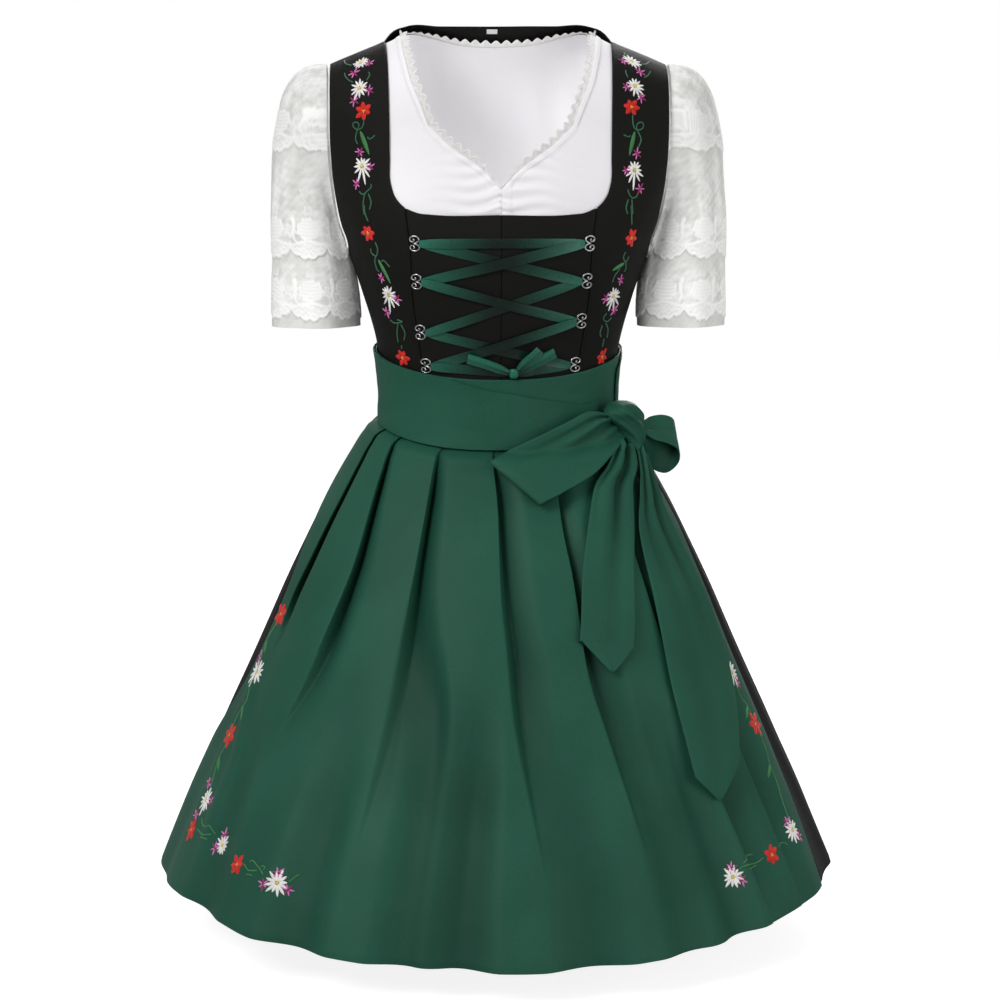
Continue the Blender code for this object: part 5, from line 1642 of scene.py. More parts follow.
def neck_lace_stations():
    """The edging's base and the direction in which it stands, from one front round the back to the other."""
    levels = np.linspace(BLOUSE_NECKLINE[0, 0], 0.0, 160)
    edge = np.array([torso(smooth(BLOUSE_NECKLINE, 1, level), level, FRONT) for level in levels])
    inward = np.cross(np.gradient(edge, axis=0), (0.0, 1.0, 0.0))
    inward /= np.linalg.norm(inward, axis=1, keepdims=True)
    stations = list(zip(edge, inward))
    x = np.linspace(BLOUSE_BACK_NECK[-1, 0] - 0.0002, 0.0, 130)
    rises = (0.0, -NECK_LACE_RISE_STEP)
    upper, lower = (torso(x, np.full(len(x), level), BACK, BLOUSE_BACK_NECK) for level in rises)
    right = stations + list(zip(upper, upper - lower))
    mirror = np.array([-1.0, 1.0, 1.0])
    return right + [(base * mirror, way * mirror) for base, way in reversed(right[:-1])]


def build_neck_lace():
    stations = neck_lace_stations()
    base = np.array([station[0] for station in stations])
    ways = np.array([station[1] for station in stations])
    ways /= np.linalg.norm(ways, axis=1, keepdims=True)
    for _ in range(SMOOTHING_ROUNDS):
        ways[1:-1] = (ways[:-2] + ways[1:-1] * 2 + ways[2:]) / 4
    length = np.concatenate([[0.0], np.cumsum(np.linalg.norm(np.diff(base, axis=0), axis=1))])
    point = 0.5 + 0.5 * np.cos(2 * math.pi * (length - length[-1] / 2) / PICOT_PITCH)
    from_end = np.minimum(length, length[-1] - length)
    reach = NECK_LACE_WIDTH * (0.52 + 0.52 * point**0.7) * (0.25 + 0.75 * ease(from_end / 0.05))
    share = np.linspace(0, 1, 12)[:, None, None]
    grid = base + ways * (NECK_LACE_GAP + (reach[:, None] - NECK_LACE_GAP) * share)
    normals = normals_of(grid)
    across = np.broadcast_to(share[..., 0], grid.shape[:2]) * reach
    hem = np.exp(-(((across - reach + 0.0008) / 0.0007) ** 2)) + np.exp(-(((across - 0.0010) / 0.0008) ** 2))
    holes = np.cos(2 * math.pi * length / (PICOT_PITCH / 4))
    holes = holes * np.cos(2 * math.pi * (across - 0.0035) / HOLE_PITCH)
    cover = np.clip(hem + 0.75 * (holes < 0.25), 0, 1)
    add_lace("blouse_neck_lace", grid + normals * (0.0002 + 0.0003 * cover)[..., None], "edging_lace", cover)


# ---------------------------------------------------------------- hooks and lacing

# Half of a hook's wire, from its waist to the scroll at its end, as shares of its half height. The other half
# mirrors it. Across is positive towards the side seam.
HOOK_HALF = [
    # across, up
    (0.16, 0.00),
    (-0.28, 0.14),
    (-0.56, 0.44),
    (-0.46, 0.80),
    (-0.06, 1.00),
    (0.42, 0.92),
    (0.66, 0.60),
    (0.52, 0.30),
    (0.20, 0.26),
    (0.02, 0.50),
    (0.18, 0.68),
]
HOOK_HALF_HEIGHT = 0.0072
HOOK_WIRE_RADIUS = 0.00078
HOOK_LEAN = 0.07
# The scroll crosses over the wire past this share of the half.
HOOK_CROSSING = 0.72
HOOK_CROSSING_RUN = 0.2
WIRE_SIDES = 8
WIRE_TIP_SHARE = 0.05
WIRE_SHOULDER_SHARE = 0.8
# The lacing's shade in the middle, and the distance from the middle at which it ends.
LACING_SHADE = 1.1
LACING_SHADE_REACH = 0.078
LACING_STEPS = 19
# How much a strand narrows at each of its ends, and over what share of it.
LACING_PINCH = 0.30
LACING_PINCH_SHARE = 0.05
LACING_TURN_WIDTH = 0.55
LACING_BULGE = 0.0005


def tube_points(path, radius, sides):
    """Rings of points round an open path, which close to a point at both of its ends."""
    ahead = np.gradient(path, axis=0)
    ahead /= np.linalg.norm(ahead, axis=1, keepdims=True)
    side = np.cross(ahead, (0.0, -1.0, 0.0))
    side /= np.linalg.norm(side, axis=1, keepdims=True)
    face = np.cross(side, ahead)
    reach = np.full(len(path), radius)
    reach[[0, -1]] = radius * WIRE_TIP_SHARE
    reach[[1, -2]] = radius * WIRE_SHOULDER_SHARE
    turns = np.linspace(0, 2 * math.pi, sides, endpoint=False)
    spread = np.cos(turns)[:, None] * side[:, None] + np.sin(turns)[:, None] * face[:, None]
    return path[:, None] + spread * reach[:, None, None]


def build_hooks():
    """Each hook is a wire bent to two rings with scrolled ends, sewn flat beside its princess seam."""
    half = through(HOOK_HALF, 34)
    wire = np.concatenate([half[:0:-1] * np.array([1.0, -1.0]), half])
    crossing = ease((np.linspace(0.0, 1.0, len(half)) - HOOK_CROSSING) / HOOK_CROSSING_RUN)
    lift = BODICE_LAYER[1] + HOOK_WIRE_RADIUS + 2 * HOOK_WIRE_RADIUS * crossing
    lift = np.concatenate([lift[:0:-1], lift])
    across = (wire[:, 0] + HOOK_LEAN * wire[:, 1]) * HOOK_HALF_HEIGHT
    for name, (x, height) in HOOKS.items():
        path = over_bodice(x + math.copysign(1.0, x) * across, height + wire[:, 1] * HOOK_HALF_HEIGHT, lift)
        rings = tube_points(path, HOOK_WIRE_RADIUS, WIRE_SIDES)
        faces = grid_faces(*rings.shape[:2], closed=True)
        add_mesh(f"lace_hook_{name}", rings, faces, "silver_wire", cloth_lengths(rings))


def strip(name, centre, width_ways, surface, shares, thickness, material, relief, shade):
    """A ribbon over a surface.

    The centre's columns are x, height and lift, and each width way is in x and height.
    """
    rows = []
    for share in shares:
        edge = centre[:, :2] + width_ways * share
        rows.append(surface(edge[:, 0], edge[:, 1], centre[:, 2]))
    grid = np.array(rows).transpose(1, 0, 2)
    lifted_wall(name, grid, (-thickness / 2, thickness / 2), material, relief, shade)


STRIP_WIDTH = 0.03
STRIP_MARGINS = (0.0006,)
RIBBON_SHARES = edged(8, STRIP_WIDTH, STRIP_MARGINS) - 0.5


def lay_ribbon(name, centre, width_ways, relief, shade):
    """A run of the lacing's ribbon over the bodice."""
    strip(name, centre, width_ways, over_bodice, RIBBON_SHARES, RIBBON_THICKNESS, "green_ribbon",
          relief, shade)


def width_way(ahead, width):
    """The ribbon's width, square to its run and pointing up."""
    square = np.stack([-ahead[:, 1], ahead[:, 0]], axis=1)
    square *= np.sign(square[:, 1:] + 1e-9)
    return square / np.linalg.norm(square, axis=1, keepdims=True) * width


def lacing_turn(name):
    x, height = HOOKS[name]
    return (x - math.copysign(LACING_HOOK_CLEARANCE, x), height)


def build_lacing():
    """One ribbon runs from the bow through all eight hooks and back to the bow."""
    bow_left, bow_right = ((LACING_BOW[0] + hand * LACING_BOW_HALF, LACING_BOW[1]) for hand in SIDES.values())
    stops = [bow_left, *(lacing_turn(name) for name in LACING_ORDER), bow_right]
    centre, ways, slack = [], [], []
    for index, (start, end) in enumerate(zip(stops, stops[1:])):
        ahead = np.array(end) - np.array(start)
        on_top = 0 < index < LACING_STRANDS_ON_TOP
        rise_at = LACING_TOP_RISE if on_top else LACING_UNDER_RISE
        for share in np.linspace(0.0, 1.0, LACING_STEPS):
            x, height = np.array(start) + ahead * share
            rise = ease((share - rise_at[0]) / (rise_at[1] - rise_at[0]))
            pinch = 1 - sum(LACING_PINCH * math.exp(-end / LACING_PINCH_SHARE) for end in (share, 1 - share))
            centre.append((x, height, LACING_LIFTS[0] + (LACING_LIFTS[1] - LACING_LIFTS[0]) * rise))
            ways.append(width_way(ahead[None], RIBBON_WIDTH * pinch)[0])
            slack.append(math.sin(math.pi * share) * (0.6 + 0.4 * math.sin(index * 2.1)))
        if index < len(stops) - 2:
            x = end[0] + math.copysign(LACING_TURN_RADIUS, end[0])
            centre.append((x, end[1], sum(LACING_LIFTS) / 2))
            ways.append(np.array([0.0, RIBBON_WIDTH * LACING_TURN_WIDTH]))
            slack.append(0.0)
    centre = np.array(centre)
    shade = LACING_SHADE * (1 - np.clip(np.abs(centre[:, :1]) / LACING_SHADE_REACH, 0, 1)) ** 0.6
    relief = LACING_BULGE * np.cos(math.pi * RIBBON_SHARES)[None] * (0.4 + np.array(slack)[:, None])
    lay_ribbon("lacing_ribbon", centre, np.array(ways), relief, shade)


def barrel_faces(rows, columns):
    """A closed grid with both of its ends filled."""
    first = list(range(columns))
    last = list(range((rows - 1) * columns, rows * columns))
    return np.array([*grid_faces(rows, columns, closed=True).tolist(), first[::-1], last], dtype=object)


LACING_BOW_ROWS = 41
LACING_KNOT_SIZE = (17, 28)


def build_lacing_bow():
    for name, points in LACING_BOW_PIECES.items():
        centre = through(points, LACING_BOW_ROWS)
        ahead = np.gradient(centre[:, :2], axis=0)
        if "loop" in name:
            ahead[:] = centre[LACING_BOW_ROWS // 2, :2] - centre[0, :2]
        from_knot = np.linalg.norm(centre[:, :2] - np.array(LACING_BOW), axis=1)
        width = RIBBON_WIDTH * (0.50 + 0.48 * ease(from_knot / 0.018))
        gathered = np.exp(-from_knot / 0.012)[:, None]
        across = RIBBON_SHARES[None]
        relief = 0.0009 * np.cos(3 * math.pi * across) * gathered
        relief = relief + 0.0008 * np.sin(math.pi * across) * (1 - gathered)
        shade = 0.75 * gathered + 0.35 * (across < 0)
        lay_ribbon(name, centre, width_way(ahead, width[:, None]), relief, shade)


def build_lacing_knot():
    rows, columns = LACING_KNOT_SIZE
    height, half_width, half_depth = through(LACING_KNOT, rows).T[..., None]
    turns = np.linspace(0, 2 * math.pi, columns, endpoint=False)
    middle = over_bodice(np.full(rows, LACING_BOW[0]), LACING_BOW[1] + height[:, 0],
                         np.full(rows, LACING_KNOT_LIFT))
    groove = 1 + 0.07 * np.sin(3 * turns + 0.6)
    ring = np.stack([half_width * np.cos(turns) * groove, half_depth * np.sin(turns) * groove,
                     np.zeros((rows, columns))], axis=-1)
    points = middle[:, None] + ring
    add_mesh("lacing_knot", points, barrel_faces(rows, columns), "green_ribbon", cloth_lengths(points))


# ---------------------------------------------------------------- the apron's bow


KNOT_SIZE = (61, 80)
KNOT_FOLD = 0.055
LOOP_ROWS = 101
LOOP_COLUMNS = 31
RIGHT_LOOP_SIZE = (81, 21)
TAIL_ROWS = 74
TAIL_END_ROWS = 15
TAIL_COLUMNS = 22
TAIL_WIDTH = 0.05
TAIL_LIFT = 0.0035
TAIL_WAVE = 0.0014
# The shade of the left loop's back half and inside the right loop's mouth.
LOOP_BACK_SHADE = 0.65
MOUTH_SHADE = 0.7
# The depth of a trough at which its shade is full.
LOOP_DARKEST = 0.007
TAIL_DARKEST = 0.005
BOW_LAYER = (-RIBBON_WALL / 2, RIBBON_WALL / 2)


def build_knot():
    rows, columns = KNOT_SIZE
    height, lift, half_along, half_out, shift = through(KNOT, rows).T[..., None]
    turns = np.linspace(0, 2 * math.pi, columns, endpoint=False)
    facing = math.radians(KNOT_FACING)
    out = np.array([math.sin(facing), -math.cos(facing), 0.0])
    along = np.array([-out[1], out[0], 0.0])
    middle = belt(np.full_like(height, KNOT_ANGLE), height, lift)
    way = np.linspace(0, 1, rows)[:, None]
    slant = 0.75 * np.cos(turns - 0.35) + 1.5 * way
    folds = np.sin(9.0 * slant + 0.4) + 0.5 * np.sin(17.0 * slant)
    size = 1 + KNOT_FOLD * folds * np.sin(math.pi * way) ** 0.5
    across = half_along * np.cos(turns) * size + shift
    points = middle + along * across[..., None] + out * (half_out * np.sin(turns) * size)[..., None]
    add_mesh("apron_bow_knot", points, barrel_faces(rows, columns), "green_satin", cloth_lengths(points),
             {"fold_shade": np.clip(-0.35 * folds, 0, 1)})


def creases(shares, from_knot, depth, reach, seed):
    """Creases that run out from the knot along a ribbon and fade."""
    phase = np.random.default_rng(seed).uniform(0, 2 * math.pi, 2)
    fine = np.sin(9.0 * shares[None] + phase[0]) + 0.6 * np.sin(17.0 * shares[None] + phase[1])
    return depth * fine * np.exp(-from_knot[:, None] / reach)


def fold_relief(folds, shares, way, from_knot):
    """Troughs that run along a strip from the knot and fade."""
    relief = 0.0
    for at_knot, at_end, depth, width, fade_length in folds:
        away = (shares[None] - (at_knot + (at_end - at_knot) * way[:, None])) / width
        relief = relief - depth * np.exp(-(away**2) - (from_knot[:, None] / fade_length) ** 2)
    return relief


def build_left_loop():
    """The left loop's back half runs out first and is in shade; its folded front half comes back over it."""
    stations = through(LEFT_LOOP, LOOP_ROWS)
    ways = np.array(LEFT_LOOP_WIDTH_WAY) * stations[:, 3:4]
    from_knot = np.abs(stations[:, 0] - LEFT_LOOP[0][0])
    way = np.linspace(0, 1, len(stations))
    in_front = ease((way - 0.5) / 0.1)[:, None]
    shares = edged(LOOP_COLUMNS, STRIP_WIDTH, STRIP_MARGINS) - 0.5
    relief = fold_relief(LEFT_LOOP_FOLDS, shares, 1 - way, from_knot) * in_front
    shade = LOOP_BACK_SHADE * (1 - ease((way - 0.44) / 0.10))[:, None]
    shade = np.clip(shade - relief / LOOP_DARKEST, 0, 1)
    strip("apron_bow_loop_left", stations[:, :3], ways, over_skirt, shares, RIBBON_WALL, "green_satin",
          relief, shade)


def build_right_loop():
    """The right loop's cloth runs round its mouth, and closes to a fold away from the mouth."""
    rows, columns = RIGHT_LOOP_SIZE
    stations = through(RIGHT_LOOP, rows)
    shares = edged(columns, 0.036)
    grid = stations[:, None, :3] + np.array(RIGHT_LOOP_DEPTH_WAY) * (stations[:, 3:4] * shares)[..., None]
    lower = ease((np.linspace(0, 1, rows) - 0.42) / 0.2)[:, None, None]
    closing = lower * ease(shares * 1.05)[None, :, None]
    upper = grid[::-1] - np.array([0.0, -0.0010, 0.0035])
    grid = grid + (upper - grid) * closing
    from_knot = np.linalg.norm(stations[:, :3] - np.array(RIGHT_LOOP[0][:3]), axis=1)
    relief = creases(shares, from_knot, 0.0010, 0.018, 4)
    lifted_wall("apron_bow_loop_right", grid, BOW_LAYER, "green_satin", relief, near_shade=MOUTH_SHADE)


def build_tail(name, stations, seed):
    """A tail lies over the apron. Its cut end runs straight from its last full width to its point."""
    body = through(stations[:-1], TAIL_ROWS)
    point = np.linspace(stations[-2], stations[-1], TAIL_END_ROWS)[1:]
    table = np.concatenate([body, point])
    left_angle, left_height, right_angle, right_height, lift = table.T[..., None]
    shares = edged(TAIL_COLUMNS, TAIL_WIDTH)
    angle = left_angle + (right_angle - left_angle) * shares
    height = left_height + (right_height - left_height) * shares
    grid = skirt(angle, band_bottom(angle) - height, lift, folded=False)
    from_knot = table[0, 1] - table[:, 1]
    way = np.linspace(0, 1, len(table))
    relief = TAIL_WAVE * np.sin(2.2 * math.pi * shares + 0.6 * seed) * np.sin(math.pi * way)[:, None]
    relief = relief + fold_relief(TAIL_FOLDS[name], shares, way, from_knot)
    shade = np.clip(-relief / TAIL_DARKEST, 0, 1)
    lifted_wall(name, grid, BOW_LAYER, "green_satin", relief + TAIL_LIFT, shade)


def build_bow():
    build_knot()
    build_left_loop()
    build_right_loop()
    for seed, (name, stations) in enumerate(TAILS.items(), start=2):
        build_tail(name, stations, seed)


# ---------------------------------------------------------------- embroidery

THREAD = {
    # name: linear colour
    "white": colour(255, 253, 250),
    "pink": colour(232, 124, 200),
    "magenta": colour(170, 40, 110),
    "red": colour(222, 26, 12),
    "orange": colour(250, 150, 50),
    "yellow": colour(246, 216, 96),
    "green": colour(60, 132, 72),
    "dark_green": colour(48, 104, 74),
}
MOTIFS = {
    # kind: (petals, length, width, thread, uneven_share, heart_size, heart_thread), in metres
    "daisy": (12, 0.0100, 0.0030, "white", 0.20, 0.0028, "yellow"),
    "star": (6, 0.0064, 0.0020, "pink", 0.20, 0.0012, "magenta"),
    "red": (6, 0.0092, 0.0060, "red", 0.16, 0.0030, "orange"),
}
# The flowers of each region, as (kind, photo_x, photo_y, size, droop).
FLOWERS = {
    "bodice_left": [
        ("daisy", 361, 63, 0.95, 0.0), ("star", 354, 73, 1.0, 0.0), ("star", 369.5, 63.5, 0.9, 0.0),
        ("daisy", 359.5, 88, 0.95, 0.35), ("star", 369, 90, 0.9, 0.0), ("star", 354, 101, 0.9, 0.0),
        ("red", 363.5, 111, 1.0, 0.0), ("star", 360, 152, 0.9, 0.0), ("daisy", 362, 166, 1.0, 0.8),
        ("star", 370, 167, 0.9, 0.0), ("star", 356.5, 184, 0.9, 0.0), ("red", 368, 233, 1.0, 0.0),
        ("star", 381.5, 278, 0.9, 0.0), ("daisy", 388.5, 295, 1.0, 0.9), ("star", 397, 299, 0.9, 0.0),
        ("star", 387, 312, 1.0, 0.0), ("red", 402.5, 358, 1.0, 0.0),
    ],
    "bodice_right": [
        ("daisy", 632, 61.5, 0.95, 0.0), ("star", 623.5, 61.5, 0.9, 0.0), ("star", 640, 72, 1.0, 0.0),
        ("daisy", 635, 86, 0.95, 0.3), ("star", 626.5, 87, 0.9, 0.0), ("star", 641, 97.5, 0.9, 0.0),
        ("red", 631.5, 107, 1.0, 0.0), ("star", 637, 153.5, 0.9, 0.0), ("daisy", 634.5, 170, 1.0, 0.8),
        ("star", 626.5, 170.5, 0.9, 0.0), ("star", 640, 189, 0.9, 0.0), ("red", 631.5, 238, 1.0, 0.0),
        ("star", 620.5, 280, 0.9, 0.0), ("daisy", 613.5, 296, 1.0, 0.8), ("star", 606, 298.5, 0.9, 0.0),
        ("star", 614.5, 310, 1.0, 0.0), ("red", 602, 357, 1.0, 0.0),
    ],
    "apron_left": [
        ("red", 281, 614, 1.45, 0.0), ("daisy", 257, 672, 1.30, 0.3), ("star", 260, 657, 1.2, 0.0),
        ("red", 229.5, 735, 1.45, 0.0), ("star", 209, 783, 1.2, 0.0), ("daisy", 206, 800, 1.20, 0.3),
        ("star", 211, 801, 1.0, 0.0), ("star", 196, 815, 1.1, 0.0), ("red", 191.5, 830, 1.25, 0.0),
        ("daisy", 222.5, 845.5, 1.10, 0.0), ("star", 225, 835, 1.1, 0.0), ("star", 215, 848, 1.1, 0.0),
        ("red", 237, 864.5, 1.15, 0.0), ("daisy", 277, 883, 1.25, 0.0), ("star", 278, 873, 1.1, 0.0),
        ("star", 263, 884, 1.1, 0.0), ("star", 288, 890, 1.1, 0.0),
    ],
    "apron_right": [
        ("daisy", 731.5, 672, 1.25, 0.3), ("star", 737, 682, 1.2, 0.0), ("red", 755.5, 724, 1.45, 0.0),
        ("daisy", 792.5, 830, 1.20, 0.3), ("star", 787, 822, 1.1, 0.0), ("star", 799, 836, 1.1, 0.0),
        ("red", 772, 855, 1.20, 0.0), ("daisy", 733, 877, 1.20, 0.0), ("star", 731, 868, 1.1, 0.0),
        ("star", 742, 880, 1.1, 0.0),
    ],
}
# The vines of each region: each stroke is a row of (photo_x, photo_y) along it.
STROKES = {
    "bodice_left": [
        ((343.9, 60.6), (346, 63.9), (351.7, 65.6)),
        ((344.4, 72.8), (345.6, 76.7), (349.4, 80.6), (353.3, 82.2)),
        ((368.3, 71.7), (369.7, 75), (366.7, 80.6)),
        ((363.3, 116.7), (363.7, 122.2), (361.7, 127.8), (357.2, 129.4), (353.3, 126.7), (353.3, 123.3),
         (356.1, 122.2), (358.9, 124.4), (358.3, 127.8), (356.7, 132.2), (355.6, 138.9), (357.8, 144.4)),
        ((367.2, 136.7), (369.4, 138.9), (372.2, 137.8), (375, 135)),
        ((370.6, 183.9), (371.1, 187.2), (367.2, 191.1), (362.8, 194.4), (358.9, 191.1)),
        ((365, 193.3), (363.3, 203.3), (364.4, 215)),
        ((368.3, 193.3), (371.1, 202.2), (369.4, 210)),
        ((364.4, 205), (365, 212.8), (368.3, 221.7)),
        ((375, 241.7), (377.8, 249.4), (376.1, 256.1), (371.7, 252.8), (370.6, 248.3)),
        ((376.1, 256.1), (375, 261.7), (377.2, 269.4), (379.4, 271.7)),
        ((380.6, 261.7), (383.9, 260.6), (387.2, 263.9), (390, 267.2)),
        ((390, 319.4), (393.9, 322.8), (398.3, 322.8), (402.2, 321.7), (396.7, 319.4)),
        ((398.3, 322.8), (397.2, 332.8), (398.3, 342.8)),
        ((400.6, 323.9), (405, 332.8), (403.9, 340.6)),
        ((401.7, 345), (401.7, 349.4)),
    ],
    "bodice_right": [
        ((623.9, 52.8), (625, 55.6)),
        ((641, 64.4), (645.6, 64.4), (649.4, 61.7)),
        ((643.9, 77.8), (647.8, 75.6), (650.6, 71.1)),
        ((625.6, 70), (626.1, 73.9), (628.3, 77.8)),
        ((632.8, 114.4), (632.8, 121), (634.4, 127.8), (638.9, 130), (642.8, 127.8), (643.3, 123.9),
         (640.6, 122.2), (637.2, 124.4), (636.7, 128.9), (638.9, 133.3), (641, 140), (638.3, 147.8)),
        ((623.3, 134.4), (627.8, 136.7), (631, 135.6)),
        ((627.8, 188.9), (628.9, 193.3), (632.2, 197.8), (636.1, 196.7), (637.8, 193.3)),
        ((628.3, 198.9), (626.1, 207.8), (627.8, 214.4)),
        ((631.7, 198.9), (632.8, 214.4)),
        ((631, 205), (631.7, 225)),
        ((625.6, 251.7), (623.3, 257.2), (625.6, 261.7), (628.9, 256.1)),
        ((625.6, 261.7), (625.6, 268.3), (623.9, 271.7)),
        ((620, 268.3), (614.4, 276.1), (612.2, 282.8)),
        ((606.7, 312.8), (603.3, 318.3), (606.7, 321.7), (611.7, 317.2)),
        ((602.2, 325), (600, 332.8), (601.1, 337.2)),
        ((605.6, 322.8), (607.8, 329.4), (606.7, 338.3)),
        ((603.9, 338.3), (602.2, 347.2)),
    ],
    "apron_left": [
        ((281, 614), (275, 626), (267, 640), (263, 652), (257, 672)),
        ((257, 672), (250, 687), (246, 702), (239, 713), (229.5, 735)),
        ((229.5, 735), (225, 747), (219.5, 757), (216, 768), (212, 783), (206, 800)),
        ((202.2, 817.8), (202.8, 824.4), (205.6, 827.2)),
        ((206, 826.7), (209.4, 825.6), (212.8, 830.6), (215.6, 834.4)),
        ((197.2, 828.9), (202.2, 834.4), (211.7, 834.4)),
        ((200.6, 836.7), (207.2, 839.4)),
        ((243.9, 863.3), (248.3, 870), (257.2, 870.6)),
        ((246, 874), (252.8, 875.6)),
        ((249.4, 862.2), (252.8, 860.6), (257.2, 865.6), (260.6, 870), (262.8, 874.4)),
        ((260.6, 867.8), (262.8, 865.6), (265, 867.8), (262.8, 870)),
        ((288.3, 882.2), (298.9, 874.4)),
    ],
    "apron_right": [
        ((731.5, 672), (737, 688), (740.8, 697.5), (747, 706), (755.5, 724)),
        ((755.5, 724), (761, 737), (766, 751), (769.5, 764), (776, 780), (782, 800), (792.5, 830)),
        ((788.3, 845), (781.7, 842.5), (778.3, 846.7)),
        ((763.3, 857.5), (756.7, 862.5), (745, 865.8), (739.2, 869.2)),
        ((743.3, 863.3), (746.7, 855.8), (752.5, 854.2)),
        ((750, 869.2), (756.7, 865)),
    ],
}
# The leaves of each region, as (base_x, base_y, tip_x, tip_y, width), in the photograph but for the width.
LEAVES = {
    "bodice_left": [
        (360, 130.5, 369.4, 155, 0.0052), (378, 259, 391, 284, 0.0052),
    ],
    "bodice_right": [
        (635, 131, 629.4, 156, 0.0052), (624.4, 262.8, 612.2, 270.6, 0.0048),
    ],
    "apron_left": [
        (267, 640, 264.5, 653, 0.0055), (243, 706, 241, 720, 0.0055), (219.5, 757, 218, 771, 0.0050),
    ],
    "apron_right": [
        (747, 706, 746, 719, 0.0055), (769.5, 764, 768, 778, 0.0050),
    ],
}
STROKE_WIDTH = 0.0016
STROKE_STEP = 0.0011
STITCH_LIFT = 0.00075
STITCH_SINK = -0.00025
HEART_LIFT = 0.0004
# The rows and columns of points of a petal and a stroke, as shares along and across.
PETAL_ALONG = (0.0, 0.08, 0.25, 0.45, 0.65, 0.84, 0.95, 1.0)
PETAL_ACROSS = (-1.0, -0.55, 0.0, 0.55, 1.0)
STROKE_ACROSS = (-1.0, -0.5, 0.0, 0.5, 1.0)
PETAL_BLUNTNESS = 0.62
PETAL_NARROWEST = 0.06
# How far above and below a point the cloth is looked for.
DROP_START = 0.012
DROP_REACH = 0.03


class Cloth:
    """The outer surface of some pieces, for stitches to lie on."""

    def __init__(self, pieces):
        points, faces = [], []
        for piece in pieces:
            data = PIECES[piece].data
            start = len(points)
            points += [vertex.co.copy() for vertex in data.vertices]
            faces += [[start + index for index in face.vertices] for face in data.polygons]
        self.tree = BVHTree.FromPolygons(points, faces)

    def seen(self, photo_x, photo_y):
        """The place and normal that the camera sees at a place in the photograph."""
        start, way = photo_ray(photo_x, photo_y)
        place, normal, _, _ = self.tree.ray_cast(start, way)
        if place is None:
            step = start + way * (CAMERA_DISTANCE - 0.1)
            place, normal, _, _ = self.tree.find_nearest(step)
        return place, (normal if normal.dot(way) < 0 else -normal)

    def drop(self, point, normal):
        """The place on the cloth straight below a point near it, and the cloth's normal there."""
        place, found, _, _ = self.tree.ray_cast(point + normal * DROP_START, -normal, DROP_REACH)
        if place is None:
            place, found, _, _ = self.tree.find_nearest(point)
        return place, (found if found.dot(normal) > 0 else -found)


def plane_at(normal):
    """The right and up directions in the plane that is square to a normal."""
    up = (Vector((0, 0, 1)) - normal * normal.z).normalized()
    return up.cross(normal), up


